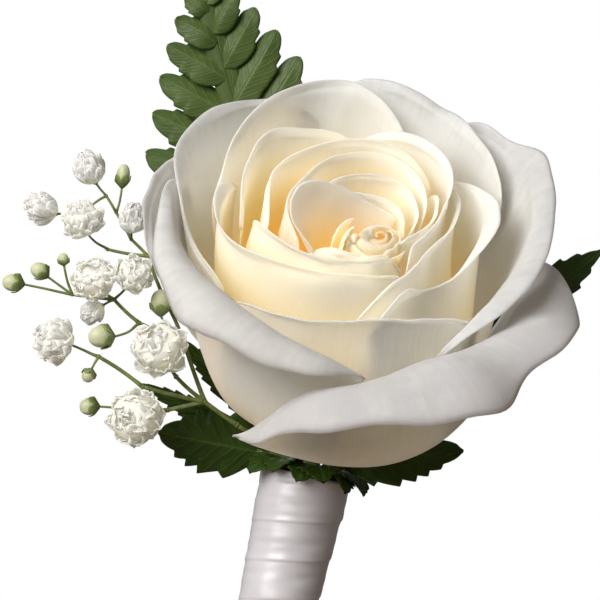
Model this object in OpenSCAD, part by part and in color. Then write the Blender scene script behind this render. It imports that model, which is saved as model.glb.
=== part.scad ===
// Flower lapel pin: a cream rose with fern, leaves and baby's breath, bound in
// satin ribbon and carried by a straight pin behind the stem.
// Millimetres. +Z is up, the viewer is at -Y and +X is to the right.
// The origin is on the back of the wrapped stem, where it is pinned to a lapel.

/* [Wrapped stem] */
// Radius of the wrapped stem at the height of the origin
wrap_r = 6.4; // [5.6:0.1:8]
// How much the wrap's radius grows for each millimetre upward
wrap_taper = 0.05; // [0:0.005:0.08]
// Height of the ribbon's top edge above the origin, along the stem
wrap_top = 10; // [8:0.5:11]
// How far the ribbon reaches below the origin, along the stem
wrap_down = 26; // [20:1:40]
// Thickness of the ribbon's layers
ribbon_t = 1.2; // [0.6:0.1:1.6]
// Height that one turn of ribbon shows
turn_h = 6; // [4:0.5:9]
// How far each turn's edge stands out over the turn below
turn_step = 0.3; // [0.1:0.05:0.6]
// Lean of the stem to the right, in degrees
lean = 12.6; // [8:0.1:16]
// Length of the cut stems that shows below the ribbon
cut_end = 3; // [1:0.5:6]

/* [Rose] */
// Height of the rose's outer rim above the bottom of its cup
rose_h = 36; // [34:0.5:39]
// Radius of the rose's outer rim
rose_r = 30; // [28:0.5:32]
// Thickness of one petal
petal_t = 0.5; // [0.3:0.05:0.55]
// Angle between the rose's axis and the line of sight, in degrees
nod = 45; // [42:1:50]
// How far the bottom of the rose's cup is above the origin
rose_up = 19.1; // [18:0.1:22]
// How far the bottom of the rose's cup is in front of the origin
rose_out = 13; // [12:0.1:16]
// How far the bottom of the rose's cup is to the right of the origin
rose_side = 4.7; // [3:0.1:6]
// Radius of the rose's own stem
pedicel_r = 1.7; // [1.2:0.1:2]

/* [Greenery] */
// Length of the two leaves below the rose, which the other leaves follow
leaf_l = 20; // [16:0.5:22]
// Height of the fern's tip above the origin
fern_top = 88; // [82:1:96]
// Length of the fern's longest side blade
pinna_l = 21; // [18:0.5:23]
// Thickness of the fern and the leaves
leaf_t = 0.6; // [0.4:0.05:0.9]

/* [Baby's breath] */
// Height of the spray above the binding
spray_h = 50; // [46:0.5:52]
// Radius of the spray's twigs
twig_r = 0.4; // [0.25:0.05:0.5]
// Size of the small flowers and buds, as a share of the usual one
bloom = 1; // [0.8:0.05:1]

/* [Pin] */
// Radius of the pin's shank
pin_r = 0.45; // [0.3:0.05:0.6]
// Length of the pin's shank from head to tip
pin_l = 42; // [40:1:48]
// Radius of the shank's finer front end, which a pin guard slides over
pin_fine_r = 0.35; // [0.25:0.05:0.4]
// Length of the finer front end, without its point
pin_fine_l = 6; // [4:0.5:7]
// Radius of the pin's round head
pin_head_r = 2.3; // [1.5:0.1:2.5]
// Tilt of the pin away from the stem, in degrees
pin_tilt = 26; // [24:1:28]

/* [Hidden] */
$fn = 48;
// Clearance where one piece seats in another
fit_gap = 0.2;
// The core stands this far above the ribbon
core_lip = 1;
// The pin runs this deep under the back of the wrap, with its middle below the origin
pin_depth = ribbon_t + pin_r + 0.3;
pin_mid = -4.5;
pin_point = 2;
pin_tip_r = 0.08;
// Cells across a petal, up its blade and along its lip
petal_cells = [9, 6, 2];

PETALS = [
    "petal_front_roll", "petal_left_outer", "petal_back_right", "petal_left_fold",
    "petal_right_wide", "petal_left_inner", "petal_front_mid", "petal_back_mid",
    "petal_right_mid", "petal_right_band", "petal_left_mid", "petal_back_inner_right",
    "petal_back_inner_left", "petal_left_third", "petal_back_third", "petal_right_fourth",
    "petal_back_fourth", "petal_back_fifth", "petal_front_fourth", "petal_back_sixth"];
LEAVES = ["leaf_left", "leaf_right", "leaf_behind", "leaf_narrow_low", "leaf_narrow_high"];
FLOWERS = [
    "flower_top", "flower_far_left", "flower_upper", "flower_by_rose", "flower_middle",
    "flower_middle_right", "flower_cup", "flower_open", "flower_low_left", "flower_bottom"];
BUDS = [
    "bud_top", "bud_far_left", "bud_left", "bud_small", "bud_white", "bud_green",
    "bud_low", "bud_by_rose"];

// One row a petal, in the order of PETALS. Angles are about the rose's axis, from its
// right side over its back. A list runs evenly across the petal from start to end.
// Lengths are hundredths of rose_r, and heights are hundredths of rose_h.
// [layer from outside, [start, end] angle, rim radius, rim height, outward lean of the rim,
//  length of the rolled lip, angle of the roll, radius half way up,
//  [place, length] of the rim's point, share of the width kept at the base]
PETAL_ROWS = [
    [0, [241, 379], [88, 81.5, 78, 74.5, 76.5, 82.5, 89.5, 101],
        [41.5, 72.5, 87.5, 93.5, 94.5, 95.5, 95.5, 95], [66, 30, 29, 30, 29, 30, 50, 50],
        [7.5, 39, 45.5, 49.5, 39.5, 37, 25, 10.5], [159, 100, 91, 87, 91, 72, 88, 84],
        [75, 75, 75, 75, 75.5, 76.5, 77.5, 77.5], [0.5, 13], 1],
    [0, [134, 200], [101.5, 104, 103.5, 101.5], [75, 86, 94.5, 94.5], [30], [6.5], [50], [77.5],
        [0.5, 0], 0.6],
    [2, [40, 105], [84, 86.5, 91.5, 97, 101.5, 105, 109.5],
        [104, 101.5, 102, 102.5, 104, 104, 102], [10, 18, 26, 32, 35, 35, 35],
        [6, 7, 7, 6.5, 6.5, 7.5, 12.5], [40, 43, 45, 45, 45, 45, 44],
        [68.5, 69.5, 70.5, 72.5, 74.5, 76, 77.5], [0.47, 1.1], 1],
    [1, [166, 282], [99.5, 94, 87, 78, 75, 73.5, 72.5], [103, 102, 100.5, 98.5, 97.5, 96, 93.5],
        [16, 24, 28, 26, 20, 16, 16], [8, 9, 23.5, 33.5, 29, 24.5, 14],
        [79, 107, 136, 158, 162, 154, 132], [74, 74, 74, 73.5, 72, 71, 69.5], [0.56, 2], 0.8],
    [1, [313, 432], [69, 69, 72, 80, 90.5, 100.5, 107],
        [97.5, 100, 102.5, 105, 106.5, 104, 104], [5, 8, 12, 18, 22, 24, 20],
        [14, 18, 20, 16.5, 12.5, 3.5, 15.5], [90, 96, 94, 81, 63, 56, 46],
        [69.5, 68.5, 68, 69.5, 73, 76, 78], [0.77, 9.9], 0.8],
    [2, [111, 213], [98, 102.5, 102.5, 97, 90, 83, 75.5],
        [101.5, 101.5, 101, 99.5, 98.5, 97, 97.5], [25, 29, 29, 24, 16, 12, 19],
        [7, 3.5, 8, 6.5, 4.5, 3, 5], [40, 40, 41, 43, 42, 44, 44],
        [72, 72, 71, 69.5, 69, 69, 69], [0.5, 5], 0.8],
    [2, [218, 338], [70, 65.5, 53.5, 53.5, 63.5], [96, 98, 99.5, 97, 98.5],
        [0, -5, -12, -10, 0], [5, 6.5, 6.5, 6.5, 5], [70], [68.5, 67.5, 65.5, 66, 66.5],
        [0.5, 0], 0.8],
    [3, [80, 169], [80, 98.5, 96, 85, 78], [104, 105.5, 104, 103, 100], [15, 28, 22, 12, 5],
        [6.5, 6.5, 6.5, 5, 3.5], [45], [67, 66.5, 64, 62.5, 64], [0.5, 0], 0.8],
    [3, [283, 422], [47.5, 40, 40, 47.5, 57, 68.5, 74], [101, 101, 97.5, 97.5, 100.5, 103, 102],
        [-20, -20, -16, -8, -1, 4, 6], [6, 9.5, 2.5, 3, 19, 6, 3.5],
        [63, 81, 110, 141, 121, 87, 64], [61.5, 60.5, 59.5, 60, 62, 63.5, 63.5], [0.8, 2.7],
        0.8],
    [4, [276, 392], [39.5, 34.5, 31.5, 33.5, 48], [102, 103.5, 104, 104, 103],
        [-25, -25, -20, -15, 0], [3.5, 5, 5, 4, 3.5], [60], [57.5, 56, 54.5, 54, 55], [0.5, 0],
        0.8],
    [5, [156, 294], [73.5, 68, 44.5, 32, 29.5], [100.5, 99.5, 101.5, 103.5, 105],
        [5, 0, -20, -25, -25], [6, 6, 5, 4.5, 3.5], [65], [60.5, 60.5, 59, 56, 51.5], [0.08, 4],
        0.8],
    [5, [328, 462], [22.5, 26.5, 43, 71, 75], [106, 106, 105.5, 104, 104],
        [-30, -25, -10, 10, 20], [3.5, 4, 5, 6.5, 6], [55], [45, 46.5, 50.5, 60, 61.5],
        [0.5, 0], 0.8],
    [6, [98, 178], [68, 70.5, 74.5, 68, 59.5], [103.5, 103.5, 103.5, 103, 100.5],
        [20, 20, 20, 10, 5], [5, 5, 5.5, 5, 4], [45], [58.5, 59, 58.5, 56.5, 54.5], [0.45, 2.5],
        0.8],
    [6, [180, 330], [53, 37, 26.5, 22.5, 18], [106.5, 106, 107.5, 108, 108],
        [-5, -15, -30, -30, -30], [3.5, 4, 3.5, 3.5, 3.5], [55], [53.5, 51.5, 47.5, 44, 40.5],
        [0.03, 3.5], 0.8],
    [7, [62, 180], [60, 63.5, 60.5, 57.5, 47.5], [104.5, 104.5, 104, 103.5, 102],
        [15, 15, 10, 5, 0], [4, 4.5, 4.5, 4.5, 3.5], [45], [54, 55, 54.5, 53.5, 48.5], [0.5, 0],
        0.8],
    [7, [338, 420], [16, 20.5, 29, 40.5, 53], [107, 107, 106.5, 105.5, 105],
        [-25, -20, -10, 0, 5], [3.5], [45], [38.5, 39.5, 41.5, 46.5, 50.5], [0.5, 0], 0.8],
    [8, [22, 200], [25.5, 40.5, 54.5, 52.5, 43.5, 40.5, 29.5],
        [106, 105.5, 104.5, 104.5, 105, 104.5, 104.5], [-5, 5, 15, 10, 5, 0, -10], [4], [45],
        [35.5, 41.5, 48.5, 48, 44.5, 43.5, 41.5], [0.5, 0], 0.8],
    [9, [8, 142], [19.5, 30, 40, 38, 35.5], [106.5, 106, 105.5, 105.5, 105.5],
        [-10, 0, 5, 5, 5], [3.5], [45], [27.5, 32, 37.5, 38, 37.5], [0.5, 0], 0.8],
    [8, [206, 332], [24, 20.5, 18.5, 18, 16.5], [106, 106.5, 107, 107, 107],
        [-20, -30, -35, -35, -30], [2.5], [40], [40.5, 39.5, 37.5, 35.5, 33.5], [0.5, 0], 0.8],
    [10, [-4, 142], [16.5, 20.5, 24.5, 26, 30.5], [107, 107, 106.5, 106, 105.5],
        [-10, -5, 0, 0, 0], [3], [45], [24, 26, 28.5, 30.5, 31.5], [0.5, 0], 0.8],
];

// The rolled bud in the rose's mouth, bottom to top: [hundredths of the way from its foot
// to its top, hundredths of rose_r]
HEART_RINGS = [
    [0, 8], [10, 13], [23, 17], [40, 19], [58, 18.5], [75, 15.5], [89, 12.5],
    [96, 10], [99.5, 7], [100, 4.5], [98, 2]];
heart_top = 108.5; // hundredths of rose_h
heart_sides = 24;
heart_folds = 3;
heart_step = 0.14;
// How far the bud's top leans off the rose's axis, to the right and the front
heart_shift = [1, -0.8];

// Feet of the petals: the outermost layer's, and the step from one layer to the next
foot_r = 5.5;
foot_z = 3;
foot_rise = 7; // height over which a petal's base swells out
layer_in = 0.22;
layer_up = 0.8;
layers = 10;

// The green cup under the petals, whose cone passes just inside their feet
cup_depth = 9;
cup_gap = petal_t / 2 + 0.3;
cone_top = foot_z + layers * layer_up + 0.2;
sepals = 5;
sepal_l = 8;
sepal_w = 3.6;
socket_depth = 6;

// One row a leaf, in the order of LEAVES, with lengths in hundredths of leaf_l:
// [foot on the core's top in mm, reach from foot to tip, blade width, roll about its length,
//  share of bare stalk]
LEAF_ROWS = [
    [[-4.2, -1.4], [-93, -13.5, 18], 55, 78, 0.12],
    [[3.6, -2.4], [97, -41, 13.5], 47.5, 70, 0.1],
    [[2.4, 2.4], [208, -40, 162], 55, 75, 0.3],
    [[-4.6, 0.2], [-103, -11, 53.5], 18, 80, 0.3],
    [[-3, 1.8], [-81, -14.5, 88.5], 21, 75, 0.3],
];

// Where the twigs of the spray fork, in hundredths of spray_h from its foot on the core:
// [x, y, z, number of the fork below]
spray_foot = [-3.4, -3.2];
FORKS = [
    [0, 0, 0, 0],
    [-15, -7, 10.5, 0],
    [-24.5, -11, 17.5, 1],
    [-31, -12, 36, 2],
    [-36.5, -11, 48, 3],
    [-41.5, -11, 61, 4],
    [-46.5, -9, 66, 5],
    [-51, -8, 74, 6],
    [-54, -8, 79, 7],
    [-43, -15, 22, 2],
    [-56, -17, 31, 9],
    [-44, -13, 41, 3],
    [-51.5, -13.5, 48, 11],
    [-64, -14, 49.5, 12],
    [-53.5, -10.5, 63, 5],
    [-33, -14, 25, 2],
    [-35.5, -10, 15, 2],
];

// One row a flower, in the order of FLOWERS:
// [fork it grows from, centre in hundredths of spray_h, radius in mm, facing]
FLOWER_ROWS = [
    [8, [-59.5, -11, 88], 2.8, [-0.4, -0.3, 0.85]],
    [8, [-74, -13, 75.5], 2.8, [-0.85, -0.35, 0.3]],
    [14, [-61.5, -17, 73], 3, [-0.3, -0.5, 0.8]],
    [6, [-45.5, -15, 73], 2.6, [0.15, -0.5, 0.85]],
    [12, [-58, -21, 55], 3.2, [-0.3, -0.8, 0.5]],
    [12, [-45, -23.5, 56.5], 2.8, [0.3, -0.75, 0.6]],
    [12, [-58.5, -14.5, 44], 2.1, [-0.8, -0.1, -0.5]],
    [15, [-38.5, -22, 34.5], 4, [-0.2, -0.85, 0.45]],
    [10, [-70.5, -19.5, 36], 3.2, [-0.85, -0.4, 0.2]],
    [16, [-46, -20.5, 13], 4, [-0.4, -0.85, 0.1]],
];

// One row a bud, in the order of BUDS:
// [fork it grows from, centre in hundredths of spray_h, radius, length, facing]
BUD_ROWS = [
    [7, [-49, -7.5, 85], 1.1, 3.6, [0.1, 0, 1]],
    [13, [-81.5, -15, 53], 1.4, 3.3, [-1, 0, 0.15]],
    [13, [-73.5, -16, 56.5], 1.3, 3, [-0.8, -0.1, 0.6]],
    [13, [-66.5, -17.5, 60], 0.85, 1.9, [-0.1, -0.2, 1]],
    [11, [-55, -20, 37], 1.8, 4, [-1, -0.4, 0]],
    [10, [-59, -18.5, 25.5], 1.05, 2.2, [-0.4, -0.2, -0.8]],
    [16, [-59, -9, 16], 1.4, 3, [-1, 0.05, 0]],
    [3, [-37.5, -17.5, 47], 1.6, 4, [0, -0.2, 0.95]],
];

// Proportions of one open flower and of one bud: [radius, height] as shares of its size
FLOWER_CURVE = [
    [0, 0], [0.25, 0.05], [0.45, 0.35], [0.85, 0.6], [1, 0.95], [0.95, 1.35], [0.7, 1.7],
    [0.35, 1.85], [0, 1.8]];
BUD_CURVE = [
    [0, 0], [0.3, 0.02], [0.75, 0.2], [1, 0.5], [0.85, 0.78], [0.45, 0.96], [0, 1]];
// Depth of a flower's foot below its centre, as a share of its radius
flower_low = 1.1;
// Gap between a twig's end and the flower or bud that it carries
twig_gap = 0.1;

// The fern: side blades on each side, share of bare stalk, bow to the left half way up,
// and the ranks' angles from its rib
pinnae = 7;
fern_foot = [0.2, 4];
fern_bare = 0.43;
fern_bow = 24;
fern_w = 1.4;
fern_wing = 1.8; // blade along each side of the rib near its top
pinna_w = [1.8, 0.27]; // a side blade's width: a constant and a share of its length
pinna_angle = 55;
pinna_turn = 2;
rib_angle = 106.5;

// Frames of the stem and of the rose
module at_stem() {
    translate([0, -wrap_r, 0]) rotate([0, lean, 0]) children();
}

module at_rose() {
    translate([rose_side, -rose_out, rose_up]) rotate([0, lean, 0]) rotate([90 - nod, 0, 0])
        children();
}

// Radius of the wrapped stem at height h along it
function wrap_at(h) = wrap_r + wrap_taper * h;

// Value of a list at share t of its length, as a smooth curve through its entries
function along(v, t) =
    len(v) == 1 ? v[0] :
    let (n = len(v) - 1, x = min(max(t * n, 0), n - 0.000001), i = floor(x), f = x - i,
        a = v[max(i - 1, 0)], b = v[i], c = v[i + 1], d = v[min(i + 2, n)])
    b + f / 2 * (c - a + f * (2 * a - 5 * b + 4 * c - d + f * (3 * (b - c) + d - a)));

function bezier(p, w) =
    pow(1 - w, 3) * p[0] + 3 * w * pow(1 - w, 2) * p[1] + 3 * w * w * (1 - w) * p[2]
    + pow(w, 3) * p[3];

function bezier_way(p, w) =
    pow(1 - w, 2) * (p[1] - p[0]) + 2 * w * (1 - w) * (p[2] - p[1]) + w * w * (p[3] - p[2]);

// A petal's section at share t across: the four points of its curve in radius and height
function petal_curve(row, t) =
    let (rim = [along(row[2], t) * rose_r, along(row[3], t) * rose_h] / 100,
        foot = [foot_r - layer_in * row[0], foot_z + layer_up * row[0]],
        tilt = along(row[4], t),
        shoulder = rim - 0.38 * (rim[1] - foot[1]) * [sin(tilt), cos(tilt)],
        half = along(row[7], t) * rose_r / 100)
    [foot, [(8 * half - foot[0] - 3 * shoulder[0] - rim[0]) / 3, foot[1] + foot_rise], shoulder, rim];

// [radius, height, direction of the section from upright] at t across and v along,
// where v runs to 1 at the rim and on to 2 at the edge of the rolled lip
function petal_section(row, t, v) =
    let (p = petal_curve(row, t), end = 1 - 0.1 * pow(abs(2 * t - 1), 6),
        at = bezier(p, min(v, 1) * end), way = bezier_way(p, min(v, 1) * end),
        turn = atan2(way[0], way[1]),
        point = row[8][1] * exp(-pow((t - row[8][0]) / 0.08, 2)),
        lip = (along(row[5], t) * (1 - 0.7 * pow(abs(2 * t - 1), 6)) + point)
            * (v - 1) * rose_r / 100,
        roll = along(row[6], t) * (v - 1) / 2,
        chord = roll < 0.01 ? 1 : sin(roll) / (roll * PI / 180))
    v <= 1 ? [at[0], at[1], turn] :
    [at[0] + lip * chord * sin(turn + roll), at[1] + lip * chord * cos(turn + roll),
        turn + 2 * roll];

function petal_point(row, t, v, side) =
    let (s = petal_section(row, t, v),
        keep = row[9] + (1 - row[9]) * min(v, 1),
        angle = (row[1][0] + row[1][1]) / 2 + (row[1][1] - row[1][0]) * (t - 0.5) * keep,
        r = s[0] + side * petal_t / 2 * cos(s[2]),
        z = s[1] - side * petal_t / 2 * sin(s[2]))
    [r * cos(angle), r * sin(angle), z];

// Faces of a closed sheet whose outer grid of points comes before its inner one
function sheet_faces(cols, rows) =
    let (w = cols + 1, n = w * (rows + 1))
    concat(
        [for (j = [0:rows - 1], i = [0:cols - 1]) let (a = j * w + i) [a, a + w, a + w + 1]],
        [for (j = [0:rows - 1], i = [0:cols - 1]) let (a = j * w + i) [a, a + w + 1, a + 1]],
        [for (j = [0:rows - 1], i = [0:cols - 1]) let (a = n + j * w + i) [a, a + w + 1, a + w]],
        [for (j = [0:rows - 1], i = [0:cols - 1]) let (a = n + j * w + i) [a, a + 1, a + w + 1]],
        [for (j = [0:rows - 1]) let (a = j * w) [a, a + n, a + w + n]],
        [for (j = [0:rows - 1]) let (a = j * w) [a, a + w + n, a + w]],
        [for (j = [0:rows - 1]) let (a = j * w + cols) [a, a + w, a + w + n]],
        [for (j = [0:rows - 1]) let (a = j * w + cols) [a, a + w + n, a + n]],
        [for (i = [0:cols - 1]) [i, i + 1, i + 1 + n]],
        [for (i = [0:cols - 1]) [i, i + 1 + n, i + n]],
        [for (i = [0:cols - 1]) let (a = rows * w + i) [a, a + n, a + 1 + n]],
        [for (i = [0:cols - 1]) let (a = rows * w + i) [a, a + 1 + n, a + 1]]);

module petal(k) {
    row = PETAL_ROWS[k];
    blade = petal_cells[1];
    rows = blade + petal_cells[2];
    color("ivory") at_rose() polyhedron(
        [for (side = [1, -1], j = [0:rows], i = [0:petal_cells[0]])
            petal_point(row, i / petal_cells[0],
                j <= blade ? j / blade : 1 + (j - blade) / petal_cells[2], side)],
        sheet_faces(petal_cells[0], rows), 8);
}

// The bud's outline steps in and out where one folded petal overlaps the next
function heart_point(ring, a) =
    let (low = cone_top + fit_gap + 0.4, rise = HEART_RINGS[ring][0] / 100,
        fold = a * heart_folds / 360 + rise,
        r = HEART_RINGS[ring][1] * rose_r / 100 * (1 - heart_step * (fold - floor(fold))))
    [r * cos(a) + heart_shift[0] * rise, r * sin(a) + heart_shift[1] * rise,
        low + (heart_top * rose_h / 100 - low) * rise];

module rose_heart() {
    n = heart_sides;
    last = len(HEART_RINGS) - 1;
    color("wheat") at_rose() polyhedron(
        [for (ring = [0:last], i = [0:n - 1]) heart_point(ring, 360 * i / n)],
        concat([[for (i = [0:n - 1]) i]], [[for (i = [n - 1:-1:0]) last * n + i]],
            [for (ring = [0:last - 1], i = [0:n - 1])
                [ring * n + i, (ring + 1) * n + i, (ring + 1) * n + (i + 1) % n]],
            [for (ring = [0:last - 1], i = [0:n - 1])
                [ring * n + i, (ring + 1) * n + (i + 1) % n, ring * n + (i + 1) % n]]), 4);
}

// A straight round rod from a to b
module rod(a, b, r) {
    d = b - a;
    translate(a) rotate([0, acos(d[2] / norm(d)), atan2(d[1], d[0])])
        cylinder(r = r, h = norm(d));
}

// A point given in the rose's or the stem's frame, in the frame of the whole
function from_rose(p) =
    let (y = p[1] * cos(90 - nod) - p[2] * sin(90 - nod),
        z = p[1] * sin(90 - nod) + p[2] * cos(90 - nod))
    [rose_side + p[0] * cos(lean) + z * sin(lean), y - rose_out,
        rose_up - p[0] * sin(lean) + z * cos(lean)];

function from_stem(p) =
    [p[0] * cos(lean) + p[2] * sin(lean), p[1] - wrap_r, p[2] * cos(lean) - p[0] * sin(lean)];

// A point just over the core's top, at x and y across it and at a height above its face
function on_core(at, up) = from_stem([at[0], at[1], wrap_top + core_lip + fit_gap + up]);

// The rose's own stem: the green cup, its sepals and the bent pedicel in its socket
module rose_stem() {
    bend = from_stem([0, 0, wrap_top + core_lip + 1]);
    cone_r = foot_r - cup_gap;
    color("olivedrab") {
        at_rose() {
            rotate_extrude() polygon([[0, foot_z - cup_depth], [pedicel_r + 0.3, foot_z - cup_depth],
                [cone_r * 0.7, foot_z - 7], [cone_r * 0.92, foot_z - 4.4], [cone_r + 0.2, foot_z - 2],
                [cone_r, foot_z - 0.3], [cone_r - layers * layer_in, cone_top - 0.2],
                [0, cone_top]]);
            for (k = [0:sepals - 1]) rotate([0, 0, 360 / sepals * k + 18])
                translate([cone_r - 1, 0, foot_z - 2.8]) rotate([0, 6, 0]) linear_extrude(leaf_t)
                polygon([[-0.5, -sepal_w / 2], [sepal_l * 0.45, -sepal_w / 2.2], [sepal_l, 0],
                    [sepal_l * 0.45, sepal_w / 2.2], [-0.5, sepal_w / 2]]);
        }
        rod(from_rose([0, 0, foot_z + 1 - cup_depth]), bend, pedicel_r);
        translate(bend) sphere(r = pedicel_r + 0.15);
        rod(from_stem([0, 0, wrap_top + core_lip + 1 - socket_depth]), bend, pedicel_r);
    }
}

// The bound stems inside the ribbon, with a socket for the rose and a hole for the pin
module stem_core() {
    low = -wrap_down;
    high = wrap_top + core_lip;
    bundle = wrap_at(low) - ribbon_t - fit_gap;
    stalk = bundle / 3;
    color("yellowgreen") difference() {
        at_stem() {
            translate([0, 0, low]) cylinder(h = high - low, r1 = bundle,
                r2 = wrap_at(high) - ribbon_t - fit_gap);
            translate([0, 0, low - cut_end]) cylinder(r = stalk * 0.96, h = cut_end + 1);
            for (k = [0:5]) rotate([0, 0, 60 * k]) translate([stalk * 1.98, 0, low - cut_end + k / 6])
                cylinder(r = stalk * 0.96, h = cut_end + 1);
        }
        at_stem() translate([0, 0, high - socket_depth])
            cylinder(r = pedicel_r + fit_gap, h = socket_depth + 1);
        pin_hole();
    }
}

// The satin ribbon, each turn's lower edge standing out over the turn below
module ribbon_wrap() {
    turns = ceil((wrap_top + wrap_down) / turn_h);
    h = (wrap_top + wrap_down) / turns;
    outer = [for (k = [0:turns - 1], e = [0, 1])
        let (z = wrap_top - (k + e) * h) [wrap_at(z) + e * turn_step, z]];
    color("white") difference() {
        at_stem() rotate_extrude() polygon(concat(
            [[wrap_at(wrap_top) - ribbon_t, wrap_top]], outer,
            [[wrap_at(-wrap_down) - ribbon_t, -wrap_down]]));
        pin_hole();
    }
}

module at_pin() {
    at_stem() translate([0, wrap_r - pin_depth, pin_mid]) rotate([0, -pin_tilt, 0]) children();
}

module pin_hole() {
    at_pin() translate([0, 0, -pin_l / 2]) cylinder(r = pin_r + fit_gap / 2, h = pin_l);
}

module lapel_pin() {
    color("gainsboro") at_pin() {
        translate([0, 0, -pin_l / 2]) rotate_extrude() polygon([[0, 0], [pin_tip_r, 0],
            [pin_fine_r, pin_point], [pin_fine_r, pin_point + pin_fine_l],
            [pin_r, pin_point + pin_fine_l + 1], [pin_r, pin_l], [0, pin_l]]);
        translate([0, 0, pin_l / 2 + pin_head_r * 0.8]) sphere(r = pin_head_r);
    }
}

// The fern's rib: its place in X at height z, and the rank of side blades up it
function fern_low() = on_core(fern_foot, 0.1);
function rib_x(z) = fern_low()[0] - fern_bow * pow((z - fern_low()[2]) / 98, 1.25);
function pinna_z(k) =
    let (low = fern_low()[2] + fern_bare * (fern_top - fern_low()[2]))
    low + (fern_top - low - 5) * (1 - pow(1 - k / pinnae, 1.25));
function pinna_len(k) = pinna_l * pow(1 - k / pinnae, 0.85) * (k < 1 ? 0.8 : 1);

function blade_outline(l, w) =
    let (n = 8)
    concat([for (i = [0:n]) [l * i / n, w / 2 * sin(180 * pow(i / n, 0.8)) + 0.15]],
        [for (i = [n:-1:0]) [l * i / n, -w / 2 * sin(180 * pow(i / n, 0.8)) - 0.15]]);

module fern() {
    low = fern_low();
    n = 12;
    rib = [for (i = [0:n]) low[2] + (fern_top - low[2]) * i / n];
    half = [for (i = [0:n]) fern_w / 2 * (1 - 0.7 * i / n)
        + fern_wing * sin(180 * max(i / n - 0.55, 0) / 0.45)];
    tip = fern_top - 7;
    color("darkolivegreen") translate([0, low[1] + leaf_t / 2, 0]) rotate([90, 0, 0])
        linear_extrude(leaf_t) {
            polygon(concat([for (i = [0:n]) [rib_x(rib[i]) - half[i], rib[i]]],
                [for (i = [n:-1:0]) [rib_x(rib[i]) + half[i], rib[i]]]));
            for (k = [0:pinnae - 1], side = [-1, 1]) let (z = pinna_z(k + (side > 0 ? 0.3 : 0)))
                translate([rib_x(z), z]) rotate(rib_angle - side * (pinna_angle - pinna_turn * k))
                polygon(blade_outline(pinna_len(k), pinna_w[0] + pinna_len(k) * pinna_w[1]));
            translate([rib_x(tip), tip]) rotate(103) polygon(blade_outline(8, 2.4));
        }
}

// A toothed leaf lying along +X: bare stalk, then a blade with a tooth every few millimetres
function leaf_half(l, w, bare) =
    let (teeth = max(round(l * (1 - bare) / 2.6), 3))
    concat([[0, 0.5], [l * bare, 0.5]],
        [for (i = [1:teeth], e = [0, 1])
            let (s = (i - 1 + e * 0.35) / teeth, u = min(max(s, 0.02), 1))
            [l * (bare + (1 - bare) * s),
                w / 2 * pow(sin(180 * pow(u, 0.85)), 0.8) * (1 - e * 0.12) + 0.25]],
        [[l, 0.15]]);

module leaf(k) {
    row = LEAF_ROWS[k];
    d = row[1] * leaf_l / 100;
    half = leaf_half(norm(d), row[2] * leaf_l / 100, row[4]);
    color("darkgreen") translate(on_core(row[0], 0.7)) rotate([0, 0, atan2(d[1], d[0])])
        rotate([0, -asin(d[2] / norm(d)), 0]) rotate([row[3], 0, 0])
        translate([0, 0, -leaf_t / 2]) linear_extrude(leaf_t)
        polygon(concat(half, [for (i = [len(half) - 1:-1:0]) [half[i][0], -half[i][1]]]));
}

// Turns its children's Z axis along d and sets them down at p
module facing(p, d) {
    translate(p) rotate([0, acos(d[2] / norm(d)), atan2(d[1], d[0])]) children();
}

// A place in the spray, given in hundredths of its height from its foot on the core
function in_spray(p) = on_core(spray_foot, twig_r) + [p[0], p[1], p[2]] * spray_h / 100;

// Where a flower or bud meets its twig, a small gap below its foot
function flower_foot(row, gap) =
    in_spray(row[1]) - (row[2] * bloom * flower_low + gap) * row[3] / norm(row[3]);
function bud_foot(row, gap) =
    in_spray(row[1]) - (row[3] * bloom / 2 + gap) * row[4] / norm(row[4]);

module twig(a, b) {
    hull() {
        translate(a) sphere(r = twig_r, $fn = 6);
        translate(b) sphere(r = twig_r, $fn = 6);
    }
}

module baby_breath_twigs() {
    color("olive") {
        for (k = [1:len(FORKS) - 1]) twig(in_spray(FORKS[k]), in_spray(FORKS[FORKS[k][3]]));
        for (row = FLOWER_ROWS)
            twig(in_spray(FORKS[row[0]]), flower_foot(row, twig_r + twig_gap));
        for (row = BUD_ROWS) twig(in_spray(FORKS[row[0]]), bud_foot(row, twig_r + twig_gap));
    }
}

// A double flower: green calyx below and a domed mass of small petals above
module flower(k) {
    row = FLOWER_ROWS[k];
    r = row[2] * bloom;
    color("white") facing(flower_foot(row, 0), row[3]) rotate_extrude()
        polygon(FLOWER_CURVE * r);
}

module bud(k) {
    row = BUD_ROWS[k];
    r = row[2] * bloom;
    l = row[3] * bloom;
    color("darkseagreen") facing(bud_foot(row, 0), row[4]) rotate_extrude()
        polygon([for (p = BUD_CURVE) [p[0] * r, p[1] * l]]);
}

for (k = [0:len(PETALS) - 1]) petal(k);
rose_heart();
rose_stem();
stem_core();
ribbon_wrap();
lapel_pin();
fern();
baby_breath_twigs();
for (k = [0:len(LEAVES) - 1]) leaf(k);
for (k = [0:len(FLOWERS) - 1]) flower(k);
for (k = [0:len(BUDS) - 1]) bud(k);
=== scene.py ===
# %% [markdown]
# # A flower lapel pin
#
# A boutonniere is a rose and a few sprigs of greenery, bound in ribbon and pinned to a
# lapel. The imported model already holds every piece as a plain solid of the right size.
# This lesson dresses those solids: thin rolled petals, veined leaves, a frothy spray of
# tiny flowers and a satin-wound stem. Everything is in metres, in the model's own frame:
# Z is up, the viewer stands at minus Y, and the origin is on the back of the stem.

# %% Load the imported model
import math
from collections import namedtuple

import bmesh
import bpy
from mathutils import Matrix, Vector, noise


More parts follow.
